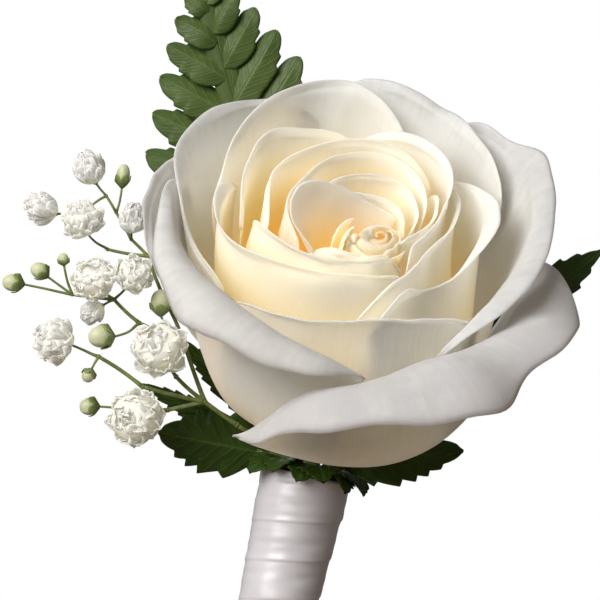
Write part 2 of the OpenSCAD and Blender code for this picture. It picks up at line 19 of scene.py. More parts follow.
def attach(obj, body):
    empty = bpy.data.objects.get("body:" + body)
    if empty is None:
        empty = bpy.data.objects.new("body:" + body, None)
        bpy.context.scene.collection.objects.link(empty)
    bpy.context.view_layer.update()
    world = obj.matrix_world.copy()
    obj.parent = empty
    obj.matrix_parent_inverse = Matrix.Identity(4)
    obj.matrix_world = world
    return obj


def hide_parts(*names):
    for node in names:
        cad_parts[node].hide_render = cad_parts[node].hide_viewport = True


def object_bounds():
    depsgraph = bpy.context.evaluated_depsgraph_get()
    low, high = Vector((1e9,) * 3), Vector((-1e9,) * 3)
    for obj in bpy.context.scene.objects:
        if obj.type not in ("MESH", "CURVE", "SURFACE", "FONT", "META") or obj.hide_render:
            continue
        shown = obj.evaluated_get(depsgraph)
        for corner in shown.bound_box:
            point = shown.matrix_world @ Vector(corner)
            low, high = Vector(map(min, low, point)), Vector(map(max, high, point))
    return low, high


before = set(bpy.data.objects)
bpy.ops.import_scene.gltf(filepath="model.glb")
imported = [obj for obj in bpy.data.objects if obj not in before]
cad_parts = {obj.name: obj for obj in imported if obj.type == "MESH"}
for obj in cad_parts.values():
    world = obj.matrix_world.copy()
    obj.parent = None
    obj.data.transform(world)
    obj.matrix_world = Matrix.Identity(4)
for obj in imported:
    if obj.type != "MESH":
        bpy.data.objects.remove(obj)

MM = 0.001
cad_bounds = [list(corner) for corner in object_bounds()]
print("pieces in the frame:", len(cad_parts), "box:", cad_bounds)

# %% [markdown]
# The driving sizes are the ones that the solids were built from, in millimetres. Each new
# piece is worked out from them, so it lands exactly where its solid is.

# %% Driving sizes
WRAP_R, WRAP_TAPER, WRAP_TOP, WRAP_DOWN = 6.4, 0.05, 10.0, 26.0
RIBBON_T, TURN_H, TURN_STEP, CORE_LIP, FIT_GAP = 1.2, 6.0, 0.3, 1.0, 0.2
LEAN, NOD = math.radians(12.6), math.radians(45)
ROSE_H, ROSE_R, PETAL_T = 36.0, 30.0, 0.5
ROSE_PLACE = Vector((4.7, -13.0, 19.1))
FOOT_R, FOOT_Z, FOOT_RISE, LAYER_IN, LAYER_UP, LAYERS = 5.5, 3.0, 7.0, 0.22, 0.8, 10
PEDICEL_R, SOCKET_DEPTH = 1.7, 6.0
LEAF_L, LEAF_T, SPRAY_H, TWIG_R = 20.0, 0.6, 50.0, 0.4
FERN_TOP, PINNA_L = 88.0, 21.0

# %% [markdown]
# A few small helpers keep the later formulas short. The noise is Blender's own, which is
# the same on every run, so nothing here is left to chance.

# %% Small helpers


def spin(angle, axis):
    return Matrix.Rotation(angle, 4, axis)


def polar(r, angle, z):
    """The point at radius r and height z, at an angle round the Z axis."""
    return Vector((r * math.cos(angle), r * math.sin(angle), z))


def noise_at(x, y, z):
    return noise.noise(Vector((x, y, z)))


def along(values, t):
    """The value of a list at share t of its length, on a smooth curve through its entries."""
    if isinstance(values, (int, float)):
        return values
    last = len(values) - 1
    x = min(max(t * last, 0), last - 1e-6)
    i = int(x)
    f = x - i
    a, b, c, d = values[max(i - 1, 0)], values[i], values[i + 1], values[min(i + 2, last)]
    return b + f / 2 * (c - a + f * (2 * a - 5 * b + 4 * c - d + f * (3 * (b - c) + d - a)))


def mix(a, b, share):
    return a + (b - a) * share


def ease(x):
    """Runs smoothly from 0 to 1 as x does."""
    x = min(max(x, 0), 1)
    return x * x * (3 - 2 * x)


# Two frames for millimetres: up the bound stems, and up the nodding rose from its foot
stem_frame = Matrix.Translation((0, -WRAP_R, 0)) @ spin(LEAN, "Y")
rose_frame = Matrix.Translation(ROSE_PLACE) @ spin(LEAN, "Y") @ spin(math.pi / 2 - NOD, "X")


def on_core(at, up):
    """A point just over the top of the bound stems, where the stalks stand."""
    return stem_frame @ Vector((at[0], at[1], WRAP_TOP + CORE_LIP + FIT_GAP + up))


# %% [markdown]
# The camera stands where the photographer's did: level with the rose, about a metre away,
# looking along plus Y. The long distance keeps the perspective flat, as a portrait lens
# does. The field of view comes from the width that the picture covers at the rose.

# %% Camera
CAMERA_PLACE = Vector((1.2, -930.0, 36.0))
PICTURE_W, PICTURE_AT = 88.2, -30.0
SENSOR = 36.0

scene = bpy.context.scene
camera_data = bpy.data.cameras.new("camera")
camera_data.sensor_width = SENSOR
camera_data.lens = SENSOR * (PICTURE_AT - CAMERA_PLACE.y) / PICTURE_W
camera_data.clip_start, camera_data.clip_end = 0.05, 20
camera = bpy.data.objects.new("camera", camera_data)
camera.location = CAMERA_PLACE * MM
camera.rotation_euler = (math.pi / 2, 0, 0)
scene.collection.objects.link(camera)
scene.camera = camera
scene.view_settings.view_transform = "Standard"
print("lens: %.1f mm" % camera_data.lens)

# %% [markdown]
# Shader maths reads best as plain formulas. This small class wraps a socket, and each
# operator adds the Math node that it stands for. Every other node comes from one method,
# which takes the node's type, its settings and what goes into its sockets.

# %% Shader helpers


class Wire:
    """An output socket that can be added, multiplied and so on."""

    def __init__(self, paint, socket):
        self.paint, self.socket = paint, socket

    def math(self, operation, first, second):
        return self.paint.node("ShaderNodeMath", {"operation": operation}, {0: first, 1: second})

    def __add__(self, other):
        return self.math("ADD", self, other)

    def __mul__(self, other):
        return self.math("MULTIPLY", self, other)

    def __sub__(self, other):
        return self.math("SUBTRACT", self, other)

    def __rsub__(self, other):
        return self.math("SUBTRACT", other, self)

    def __pow__(self, other):
        return self.math("POWER", self, other)

    def __abs__(self):
        return self.math("ABSOLUTE", self, 0.0)

    __radd__, __rmul__ = __add__, __mul__

    def at_most(self, other):
        return self.math("MINIMUM", self, other)

    def fraction(self):
        return self.math("FRACT", self, 0.0)


class Paint:
    """A material, with one method that adds any node to it."""

    def __init__(self, name, constants):
        self.material = bpy.data.materials.new(name)
        self.material.use_nodes = True
        self.tree = self.material.node_tree
        self.shader = self.tree.nodes["Principled BSDF"]
        for socket, value in constants.items():
            self.shader.inputs[socket].default_value = value

    def put(self, socket, value):
        if isinstance(value, Wire):
            self.tree.links.new(value.socket, socket)
        elif isinstance(value, (tuple, list)) and len(value) == 3 and socket.type == "RGBA":
            socket.default_value = (*value, 1)
        else:
            socket.default_value = value

    def node(self, kind, settings=None, inputs=None, output=0):
        made = self.tree.nodes.new(kind)
        for key, value in (settings or {}).items():
            if key == "ramp":
                ramp = made.color_ramp
                while len(ramp.elements) < len(value):
                    ramp.elements.new(0.5)
                for element, (place, colour) in zip(ramp.elements, value):
                    element.position = place
                    element.color = (*colour, 1)
            else:
                setattr(made, key, value)
        for key, value in (inputs or {}).items():
            self.put(made.inputs[key], value)
        return Wire(self, made.outputs[output])

    def attribute(self, name):
        return self.node("ShaderNodeAttribute", {"attribute_name": name}, output="Fac")

    def place(self):
        return self.node("ShaderNodeTexCoord", output="Object")

    def map(self):
        """The piece's own map: how far across it and how far along it a point is."""
        spot = self.node("ShaderNodeUVMap", {"uv_map": "UVMap"})
        across = self.node("ShaderNodeSeparateXYZ", inputs={0: spot})
        return across, Wire(self, across.socket.node.outputs[1])

    def vector(self, x, y, z=0.0):
        return self.node("ShaderNodeCombineXYZ", inputs={0: x, 1: y, 2: z})

    def cloud(self, where, scale, detail=3.0):
        return self.node("ShaderNodeTexNoise", inputs={
            "Vector": where, "Scale": scale, "Detail": detail})

    def ramp(self, value, stops):
        return self.node("ShaderNodeValToRGB", {"ramp": stops}, {0: value})

    def blend(self, share, first, second):
        return self.node("ShaderNodeMix", {"data_type": "RGBA"}, {0: share, 6: first, 7: second},
                         output=2)

    def set(self, **sockets):
        names = {"colour": "Base Color", "roughness": "Roughness", "normal": "Normal",
                 "glow": "Emission Color"}
        for name, value in sockets.items():
            self.put(self.shader.inputs[names[name]], value)

    def bump(self, height, strength, depth):
        self.set(normal=self.node("ShaderNodeBump", inputs={
            "Height": height, "Strength": strength, "Distance": depth}))


# %% [markdown]
# A finished piece is a mesh whose object sits at the origin. One helper turns a bmesh
# into such a piece, gives it its paints, and hides the solid that it stands for. A thin
# sheet gets its wall from a Solidify modifier, and a vertex group thins that wall at the edge.

# %% Piece helper
THICK = 0


def piece(name, bm, paints, replaces, wall=0.0, thin_edge=0.25):
    """Makes an object of a bmesh in millimetres and puts it in its solid's place."""
    bm.transform(Matrix.Scale(MM, 4))
    mesh = bpy.data.meshes.new(name)
    bm.to_mesh(mesh)
    bm.free()
    for paint in paints:
        mesh.materials.append(paint.material)
    mesh.shade_smooth()
    made = bpy.data.objects.new(name, mesh)
    scene.collection.objects.link(made)
    if wall:
        made.vertex_groups.new(name="thick")
        shell = made.modifiers.new("wall", "SOLIDIFY")
        shell.thickness, shell.offset = wall * MM, 0
        shell.vertex_group, shell.thickness_vertex_group = "thick", thin_edge
    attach(made, "root")
    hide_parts(replaces)
    return made


def new_bmesh():
    """A bmesh with the layers that every piece carries: a map, a warmth and a wall weight."""
    bm = bmesh.new()
    bm.loops.layers.uv.new("UVMap")
    bm.verts.layers.float.new("warmth")
    bm.verts.layers.deform.verify()
    return bm


def add_grid(bm, columns, rows, shape, paint=0):
    """Adds a grid and moves each of its points to shape(u, v), which may also give a
    warmth and a wall weight."""
    made = bmesh.ops.create_grid(bm, x_segments=columns, y_segments=rows, size=0.5,
                                 matrix=Matrix.Translation((0.5, 0.5, 0)))["verts"]
    uv, warmth = bm.loops.layers.uv["UVMap"], bm.verts.layers.float["warmth"]
    weight = bm.verts.layers.deform.active
    for face in {face for vert in made for face in vert.link_faces}:
        face.material_index = paint
        for loop in face.loops:
            loop[uv].uv = loop.vert.co.xy
    for vert in made:
        place, warm, thick = shape(vert.co.x, vert.co.y)
        vert.co, vert[warmth], vert[weight][THICK] = place, warm, thick
    return made


def add_tube(bm, path, radius, sides=8, warm=0.0, paint=0):
    """A closed tube along path(v), with its radius from radius(v)."""
    steps = max(3, round((path(1) - path(0)).length / 0.7))
    step = 1 / steps

    def shape(u, v):
        here = path(v)
        ahead = path(min(v + step, 1)) - path(max(v - step, 0))
        turn = ahead.to_track_quat("Z", "Y").to_matrix()
        return here + turn @ polar(1, math.tau * u, 0) * radius(v), warm, 1.0

    made = add_grid(bm, sides, steps, shape, paint)
    bmesh.ops.remove_doubles(bm, verts=made, dist=0.0005)
    made = [vert for vert in made if vert.is_valid]
    rims = [edge for edge in {edge for vert in made for edge in vert.link_edges}
            if edge.is_boundary]
    bmesh.ops.holes_fill(bm, edges=rims, sides=sides)
    faces = list({face for vert in made for face in vert.link_faces})
    for face in faces:
        face.material_index = paint
    bmesh.ops.recalc_face_normals(bm, faces=faces)
    return made


# %% [markdown]
# ## Petal paint
#
# A white rose is only white at its rims. Towards the foot of each petal, and towards the
# heart, the flesh turns cream and then gold. The cream is the petal's own colour; the gold
# deep down is painted light, the colour of light bounced between the petals. Each petal
# carries an attribute called warmth, and a ramp turns it into colour. Light also soaks
# through a petal, so the shader has subsurface scattering. Deep between the petals the
# light has bounced many times, and a faint warm glow stands in for that too.

# %% Petal paint
PETAL_GLOW = [(0.08, (0, 0, 0)), (0.2, (0.05, 0.047, 0.038)), (0.45, (0.09, 0.07, 0.035)),
              (0.75, (0.17, 0.12, 0.035)), (1.0, (0.27, 0.17, 0.025))]
VEINS_ACROSS, VEINS_UP = 46.0, 3.0


def petal_paint(name, stops):
    paint = Paint(name, {
        "Subsurface Weight": 0.9, "Subsurface Radius": (1.0, 0.95, 0.85),
        "Subsurface Scale": 0.003, "Specular IOR Level": 0.2, "Emission Strength": 1.0})
    across, up = paint.map()
    warmth = paint.attribute("warmth")
    veins = paint.cloud(paint.vector(across * VEINS_ACROSS, up * VEINS_UP), 1.0, 4.0)
    mottle = paint.cloud(paint.place(), 260.0, 3.0)
    paint.set(
        colour=paint.ramp(warmth + (mottle - 0.5) * 0.08 + (veins - 0.5) * 0.05, stops),
        roughness=0.5 + (mottle - 0.5) * 0.2, glow=paint.ramp(warmth, PETAL_GLOW))
    paint.bump(veins * 0.7 + mottle * 0.3, 0.18, 0.0006)
    return paint


# Grey-white and cream are the petal's own colours; the gold stops at the top are painted light,
# the warmth of light bounced deep in the bloom.
petal_stops = [
    (0.0, (0.54, 0.52, 0.505)), (0.08, (0.80, 0.77, 0.69)), (0.17, (0.93, 0.89, 0.76)),
    (0.32, (0.96, 0.83, 0.50)), (0.55, (0.94, 0.68, 0.19)), (1.0, (0.92, 0.50, 0.05))]
petal_white = petal_paint("petal_white", petal_stops)

# %% [markdown]
# ## The petals
#
# Every petal is one sheet that rises from its foot as a curved blade and ends in a lip
# that rolls outward. A table holds what differs from petal to petal: where it sits round
# the bloom, how far out and how high its rim is, how far the rim leans, and how long and
# how tightly its lip rolls. Belly is the blade's radius halfway up, point is a tip in the
# lip's edge, and waist is the share of the span that the foot keeps. A value is one number
# or a list along the petal. Lengths are hundredths of the bloom's radius or height, and
# angles are in degrees.
#
# The same table made the plain solids, so each petal here is a fine version of its solid,
# with wavy rims and an edge that thins out. Two petals of the middle, right_band and
# left_mid, reach further round here, behind their neighbours, so that no cut end shows.

# %% Petal table
Petal = namedtuple("Petal", "name layer span radius height lean lip roll belly point waist",
                   defaults=[(0.5, 0), 0.8])

PETALS = [
    Petal("petal_front_roll", 0, (241, 379), (88, 81.5, 78, 74.5, 76.5, 82.5, 89.5, 101),
          (41.5, 72.5, 87.5, 93.5, 94.5, 95.5, 95.5, 95), (66, 30, 29, 30, 29, 30, 50, 50),
          (7.5, 39, 45.5, 49.5, 39.5, 37, 25, 10.5), (159, 100, 91, 87, 91, 72, 88, 84),
          (75, 75, 75, 75, 75.5, 76.5, 77.5, 77.5), (0.5, 13), 1),
    Petal("petal_left_outer", 0, (134, 200), (101.5, 104, 103.5, 101.5), (75, 86, 94.5, 94.5),
          30, 6.5, 50, 77.5, (0.5, 0), 0.6),
    Petal("petal_back_right", 2, (40, 105), (84, 86.5, 91.5, 97, 101.5, 105, 109.5),
          (104, 101.5, 102, 102.5, 104, 104, 102), (10, 18, 26, 32, 35, 35, 35),
          (6, 7, 7, 6.5, 6.5, 7.5, 12.5), (40, 43, 45, 45, 45, 45, 44),
          (68.5, 69.5, 70.5, 72.5, 74.5, 76, 77.5), (0.47, 1.1), 1),
    Petal("petal_left_fold", 1, (166, 282), (99.5, 94, 87, 78, 75, 73.5, 72.5),
          (103, 102, 100.5, 98.5, 97.5, 96, 93.5), (16, 24, 28, 26, 20, 16, 16),
          (8, 9, 23.5, 33.5, 29, 24.5, 14), (79, 107, 136, 158, 162, 154, 132),
          (74, 74, 74, 73.5, 72, 71, 69.5), (0.56, 2)),
    Petal("petal_right_wide", 1, (313, 432), (69, 69, 72, 80, 90.5, 100.5, 107),
          (97.5, 100, 102.5, 105, 106.5, 104, 104), (5, 8, 12, 18, 22, 24, 20),
          (14, 18, 20, 16.5, 12.5, 3.5, 15.5), (90, 96, 94, 81, 63, 56, 46),
          (69.5, 68.5, 68, 69.5, 73, 76, 78), (0.77, 9.9)),
    Petal("petal_left_inner", 2, (111, 213), (98, 102.5, 102.5, 97, 90, 83, 75.5),
          (101.5, 101.5, 101, 99.5, 98.5, 97, 97.5), (25, 29, 29, 24, 16, 12, 19),
          (7, 3.5, 8, 6.5, 4.5, 3, 5), (40, 40, 41, 43, 42, 44, 44),
          (72, 72, 71, 69.5, 69, 69, 69), (0.5, 5)),
    Petal("petal_front_mid", 2, (218, 338), (70, 65.5, 53.5, 53.5, 63.5),
          (96, 98, 99.5, 97, 98.5), (0, -5, -12, -10, 0), (5, 6.5, 6.5, 6.5, 5), 70,
          (68.5, 67.5, 65.5, 66, 66.5)),
    Petal("petal_back_mid", 3, (80, 169), (80, 98.5, 96, 85, 78), (104, 105.5, 104, 103, 100),
          (15, 28, 22, 12, 5), (6.5, 6.5, 6.5, 5, 3.5), 45, (67, 66.5, 64, 62.5, 64)),
    Petal("petal_right_mid", 3, (283, 422), (47.5, 40, 40, 47.5, 57, 68.5, 74),
          (101, 101, 97.5, 97.5, 100.5, 103, 102), (-20, -20, -16, -8, -1, 4, 6),
          (6, 9.5, 2.5, 3, 19, 6, 3.5), (63, 81, 110, 141, 121, 87, 64),
          (61.5, 60.5, 59.5, 60, 62, 63.5, 63.5), (0.8, 2.7)),
    Petal("petal_right_band", 4, (276, 421), (39.5, 34.5, 31.5, 33.5, 48, 70),
          (102, 103.5, 104, 104, 103, 102.5), (-25, -25, -20, -15, 0, 8), (3.5, 5, 5, 4, 4, 3.5),
          60, (57.5, 56, 54.5, 54, 55, 62), (0.5, 0), 0.85),
    Petal("petal_left_mid", 5, (156, 328.5), (73.5, 68, 44.5, 32, 29.5, 27.5),
          (100.5, 99.5, 101.5, 103.5, 104.5, 105), (5, 0, -20, -25, -25, -20),
          (6, 6, 5, 4.5, 4, 3.5), 65, (60.5, 60.5, 59, 56, 51.5, 47.5), (0.064, 4), 0.84),
    Petal("petal_back_inner_right", 5, (328, 462), (22.5, 26.5, 43, 71, 75),
          (106, 106, 105.5, 104, 104), (-30, -25, -10, 10, 20), (3.5, 4, 5, 6.5, 6), 55,
          (45, 46.5, 50.5, 60, 61.5)),
    Petal("petal_back_inner_left", 6, (98, 178), (68, 70.5, 74.5, 68, 59.5),
          (103.5, 103.5, 103.5, 103, 100.5), (20, 20, 20, 10, 5), (5, 5, 5.5, 5, 4), 45,
          (58.5, 59, 58.5, 56.5, 54.5), (0.45, 2.5)),
    Petal("petal_left_third", 6, (180, 330), (53, 37, 26.5, 22.5, 18),
          (106.5, 106, 107.5, 108, 108), (-5, -15, -30, -30, -30), (3.5, 4, 3.5, 3.5, 3.5), 55,
          (53.5, 51.5, 47.5, 44, 40.5), (0.03, 3.5)),
    Petal("petal_back_third", 7, (62, 180), (60, 63.5, 60.5, 57.5, 47.5),
          (104.5, 104.5, 104, 103.5, 102), (15, 15, 10, 5, 0), (4, 4.5, 4.5, 4.5, 3.5), 45,
          (54, 55, 54.5, 53.5, 48.5)),
    Petal("petal_right_fourth", 7, (338, 420), (16, 20.5, 29, 40.5, 53),
          (107, 107, 106.5, 105.5, 105), (-25, -20, -10, 0, 5), 3.5, 45,
          (38.5, 39.5, 41.5, 46.5, 50.5)),
    Petal("petal_back_fourth", 8, (22, 200), (25.5, 40.5, 54.5, 52.5, 43.5, 40.5, 29.5),
          (106, 105.5, 104.5, 104.5, 105, 104.5, 104.5), (-5, 5, 15, 10, 5, 0, -10), 4, 45,
          (35.5, 41.5, 48.5, 48, 44.5, 43.5, 41.5)),
    Petal("petal_back_fifth", 9, (8, 142), (19.5, 30, 40, 38, 35.5),
          (106.5, 106, 105.5, 105.5, 105.5), (-10, 0, 5, 5, 5), 3.5, 45,
          (27.5, 32, 37.5, 38, 37.5)),
    Petal("petal_front_fourth", 8, (206, 332), (24, 20.5, 18.5, 18, 16.5),
          (106, 106.5, 107, 107, 107), (-20, -30, -35, -35, -30), 2.5, 40,
          (40.5, 39.5, 37.5, 35.5, 33.5)),
    Petal("petal_back_sixth", 10, (-4, 142), (16.5, 20.5, 24.5, 26, 30.5),
          (107, 107, 106.5, 106, 105.5), (-10, -5, 0, 0, 0), 3, 45, (24, 26, 28.5, 30.5, 31.5)),
]
OUTER_PETALS = [row.name for row in PETALS[:8]]

# %% [markdown]
# The blade's section is a cubic curve in radius and height. The lip is an arc that
# carries on from the rim in the same direction, so there is no crease between the two.

# %% Petal section
SHOULDER_REACH = 0.38  # how far below the rim the shoulder lies, as a share of the height
CORNER_DROP, CORNER_LIP = 0.1, 0.3  # a petal's corners are lower, and their lip is shorter
POINT_SPREAD = 0.08  # how wide a point in the lip's edge is, as a share of the petal's
INNER_ROLL, INNER_FROM = 0.45, 3  # lips roll less from this layer inwards


def petal_curve(row, t):
    rim = Vector((along(row.radius, t) * ROSE_R, along(row.height, t) * ROSE_H)) / 100
    foot = Vector((FOOT_R - LAYER_IN * row.layer, FOOT_Z + LAYER_UP * row.layer))
    tilt = math.radians(along(row.lean, t))
    reach = SHOULDER_REACH * (rim.y - foot.y)
    shoulder = rim - reach * Vector((math.sin(tilt), math.cos(tilt)))
    half = along(row.belly, t) * ROSE_R / 100
    low = Vector(((8 * half - foot.x - 3 * shoulder.x - rim.x) / 3, foot.y + FOOT_RISE))
    return foot, low, shoulder, rim


def cubic(a, b, c, d, w):
    """The point at share w of the cubic curve with control points a, b, c and d."""
    return (1 - w) ** 3 * a + 3 * w * (1 - w) ** 2 * b + 3 * w * w * (1 - w) * c + w ** 3 * d


def petal_section(row, t, v):
    """Radius, height and direction from upright; v is 1 at the rim and 2 at the lip's edge."""
    foot, low, shoulder, rim = petal_curve(row, t)
    side = abs(2 * t - 1) ** 6
    w = min(v, 1) * (1 - CORNER_DROP * side)
    at = cubic(foot, low, shoulder, rim, w)
    way = ((1 - w) ** 2 * (low - foot) + 2 * w * (1 - w) * (shoulder - low)
           + w * w * (rim - shoulder))
    turn = math.atan2(way.x, way.y)
    if v <= 1:
        return at.x, at.y, turn
    bump = row.point[1] * math.exp(-((t - row.point[0]) / POINT_SPREAD) ** 2)
    lip = (along(row.lip, t) * mix(1, CORNER_LIP, side) + bump) * (v - 1) * ROSE_R / 100
    soften = mix(1, INNER_ROLL, min(row.layer / INNER_FROM, 1))
    roll = math.radians(along(row.roll, t)) * soften * (v - 1) / 2
    lip *= math.sin(roll) / roll
    return (at.x + lip * math.sin(turn + roll), at.y + lip * math.cos(turn + roll),
            turn + 2 * roll)


# %% [markdown]
# A fresh petal is never quite smooth. Slow waves run round its rim, small nicks break the
# edge, and both fade out towards the foot. The innermost petals sit close together, so
# their waves are smaller.

# %% Make the petals
PETAL_COLUMNS, BLADE_ROWS, LIP_ROWS = 72, 38, 18
EDGE_BAND, PETAL_WALL = 0.035, 0.55  # the wall is a share of the solid's
OUTER_WAVE, INNER_WAVE, RAGGED = 0.7, 0.3, 0.12  # millimetres, and a share of the lip
LAYER_WARMTH, MOST_LAYER_WARMTH = 0.035, 0.2
# Towards each petal's foot the colour warms: cream of its own, and deep down a gold that is
# painted light bounced between the petals.
FOOT_CREAM_AND_BOUNCE, FOOT_CREAM_AND_BOUNCE_PER_LAYER, WARMEST_LAYER = 0.17, 0.14, 6


def waves(row, t, v):
    """How far a point of the petal stands off its smooth form, in millimetres."""
    size = mix(OUTER_WAVE, INNER_WAVE, min(row.layer / INNER_FROM, 1)) * min(v, 1.3) ** 3
    return size * (noise_at(t * 4, v * 0.8, row.layer * 3.7 + row.span[0])
                   + 0.25 * noise_at(t * 10, v, row.span[0] * 0.7))


def petal_point(row, t, v):
    keep = row.waist + (1 - row.waist) * min(v, 1)
    first, last = row.span
    angle = math.radians((first + last) / 2 + (last - first) * (t - 0.5) * keep)
    ragged = 1 + RAGGED * noise_at(t * 9, row.span[1] * 0.3, row.layer)
    v = v if v < 1 else 1 + (v - 1) * ragged
    r, z, turn = petal_section(row, t, v)
    off = waves(row, t, v)
    r += off * math.cos(turn)
    z -= off * math.sin(turn)
    return rose_frame @ polar(r, angle, z)


def petal_shape(row, blade_share):
    """The shape of one petal as a function of a grid's u and v."""
    def shape(u, share):
        v = share / blade_share if share <= blade_share else (
            1 + (share - blade_share) / (1 - blade_share))
        edge = min(u, 1 - u, (2 - v) * 0.3)
        depth = 1 - min(v, 1)
        warm = min(LAYER_WARMTH * row.layer, MOST_LAYER_WARMTH) + depth * (
            FOOT_CREAM_AND_BOUNCE + FOOT_CREAM_AND_BOUNCE_PER_LAYER * min(row.layer, WARMEST_LAYER))
        return petal_point(row, u, v), min(warm, 1), ease(edge / EDGE_BAND)
    return shape


for row in PETALS:
    bm = new_bmesh()
    rows = BLADE_ROWS + LIP_ROWS
    add_grid(bm, PETAL_COLUMNS, rows, petal_shape(row, BLADE_ROWS / rows))
    slot = "petal_outer" if row.name in OUTER_PETALS else "petal_inner"
    piece(row.name + "_fine", bm, [petal_white], row.name, PETAL_T * PETAL_WALL)
print("petals:", len(PETALS))

# %% [markdown]
# ## The heart of the rose
#
# The last few petals are still furled round one another and close over the middle as a
# small dome, with an eye where they meet. Each is a strip of a round wall: it rises, bulges
# and bends in to its rim. Thin slips stand at the dome's left, and the last row is one more
# petal, flared and half open, which shelters the dome from behind. The eye lies to the
# right of the dome's foot, so every wall but that one leans over as it rises. Belly, rim
# and top are radii and a height, each one number or a list along the petal.

# %% Make the heart
Furl = namedtuple("Furl", "span belly rim top warm point flare", defaults=[0, 0])
HEART = [
    Furl((165, 350), 4.4, 4.0, 38.3, 0.26),
    Furl((200, 420), 3.75, (2.6, 1.8, 1.6), 39.1, 0.24),
    Furl((10, 240), 3.55, (2.2, 1.3, 1.0), 39.2, 0.26),
    Furl((150, 420), 2.9, (1.8, 0.9, 0.6), 39.1, 0.32),
    Furl((330, 590), 2.3, (1.1, 0.5, 0.15), 38.9, 0.42),
    Furl((290, 410), 4.1, 2.7, 38.9, 0.24),
    Furl((148, 210), (5.0, 6.2), (4.8, 5.5, 6.5, 7.4), (39.0, 39.0, 38.2, 36.8), 0.24),
    Furl((166, 216), (4.5, 5.4), (3.8, 4.7, 5.9), (39.0, 38.6, 37.0), 0.26),
    Furl((185, 232), (4.4, 4.8), (3.2, 4.4), (38.9, 37.4), 0.24, point=0.3),
    Furl((52, 212), (5.2, 5.3, 5.8, 6.4), (6.4, 5.9, 6.6, 8.6, 11.2, 11.3, 8.4),
         (38.2, 38.8, 39.4, 40.8, 41.8, 40.4, 38.2), 0.15, flare=0.7)]
HEART_LOW, HEART_FULL, FLARE_FROM = 26.0, 32.0, 36.5  # heights up the rose's axis
HEART_FOOT, HEART_EYE = Vector((1.2, -0.8)), Vector((2.3, -0.2))
# Deep in the heart the colour runs to cream and then gold; the gold is painted light, the warmth
# of light bounced between the furled petals.
DEEP_CREAM_AND_BOUNCE, HEART_EDGE, HEART_GRID = 0.9, 0.06, (48, 30)


def furl_shape(row):
    def shape(u, v):
        angle = math.radians(mix(*row.span, u))
        belly, rim_r, top = along(row.belly, u), along(row.rim, u), along(row.top, u)
        top += row.point * (1 - abs(2 * u - 1)) ** 1.5 - 0.5 * (2 * u - 1) ** 8
        low, full = Vector((belly * 0.7, HEART_LOW)), Vector((belly, HEART_FULL))
        over, rim = Vector((belly * 1.04, top + 0.3)), Vector((rim_r, top))
        over = over.lerp(Vector((rim_r, FLARE_FROM)), row.flare)
        at = cubic(low, full, over, rim, v)
        r = at.x + 0.15 * v * noise_at(u * 5, v * 2, belly * 7)
        centre = HEART_FOOT.lerp(HEART_EYE, v * v) * (1 - ease(row.flare * 2))
        place = Vector((centre.x + r * math.cos(angle), centre.y + r * math.sin(angle), at.y))
        warm = row.warm + DEEP_CREAM_AND_BOUNCE * (1 - v) ** (1.3 + 1.4 * row.flare)
        return rose_frame @ place, min(warm, 1), ease(min(u, 1 - u, 1 - v) / HEART_EDGE)
    return shape


bm = new_bmesh()
for row in HEART:
    add_grid(bm, *HEART_GRID, furl_shape(row))
piece("rose_heart_fine", bm, [petal_white], "rose_heart", PETAL_T * 0.5)
print("petals in the heart:", len(HEART))

# %% [markdown]
# ## Leaf paint
#
# A leaf is darkest between its veins. The map of the leaf gives the midrib and the side
# veins: a saw wave along the leaf, sheared by how far out a point lies, makes the slanted
# veins on both sides at once. The veins are paler and sunk, and the skin is a little shiny.

# %% Leaf paint


def leaf_paint(name, dark, light, vein, veins, slant, gloss=0.42):
    paint = Paint(name, {"Specular IOR Level": 0.25, "Subsurface Weight": 0.08,
                         "Subsurface Scale": 0.0008, "Subsurface Radius": (0.5, 1.0, 0.2)})
    along_it, across = paint.map()
    out = abs(across - 0.5) * 2.0
    saw = ((along_it - out * slant) * veins).fraction()
    side = (1 - abs(saw - 0.5) * 2.0) ** 10.0
    rib = (1 - out.at_most(1.0)) ** 24.0
    lines = (side * 0.6 + rib).at_most(1.0)
    mottle = paint.cloud(paint.place(), 420.0, 4.0)
    patch = paint.cloud(paint.place(), 90.0, 2.0)
    green = paint.blend(mottle * 0.5 + patch * 0.6 - 0.05, dark, light)
    paint.set(colour=paint.blend(lines * 0.75, green, vein), roughness=gloss + mottle * 0.2)
    paint.bump(lines * -0.6 + mottle * 0.25 + (1 - abs(saw - 0.5)) * 0.3, 0.5, 0.0004)
    return paint


def grained_paint(name, constants, grain, rough, strength, stops):
    """A matt skin with one noise, of a scale and detail, for its colour, gloss and relief."""
    paint = Paint(name, constants)
    grain = paint.cloud(paint.place(), *grain)
    paint.set(colour=paint.ramp(grain, stops), roughness=0.45 + grain * rough)
    paint.bump(grain, strength, 0.0002)
    return paint


leaf_green = leaf_paint("leaf_green", (0.007, 0.019, 0.001), (0.036, 0.080, 0.003),
                        (0.06, 0.105, 0.012), 8.0, 0.22)
fern_green = leaf_paint("fern_green", (0.022, 0.046, 0.006), (0.085, 0.125, 0.030),
                        (0.10, 0.15, 0.04), 7.0, 0.3, 0.36)
stalk_green = grained_paint(
    "stalk_green", {"Specular IOR Level": 0.35}, (700.0, 3.0), 0.2, 0.25,
    [(0.2, (0.07, 0.10, 0.02)), (0.55, (0.15, 0.19, 0.05)), (0.85, (0.28, 0.31, 0.12))])

# %% [markdown]
# ## The rose leaves
#
# Rose leaves have saw teeth that point to the tip. The solid leaf is a flat toothed
# plate. Here a grid follows the same outline, with more and sharper teeth, and is folded a
# little along its midrib and sunk along each vein, so that the light picks the veins out.
# The two big leaves also bring a collar of leaflets, which hides where the rose's stem
# goes into the binding.

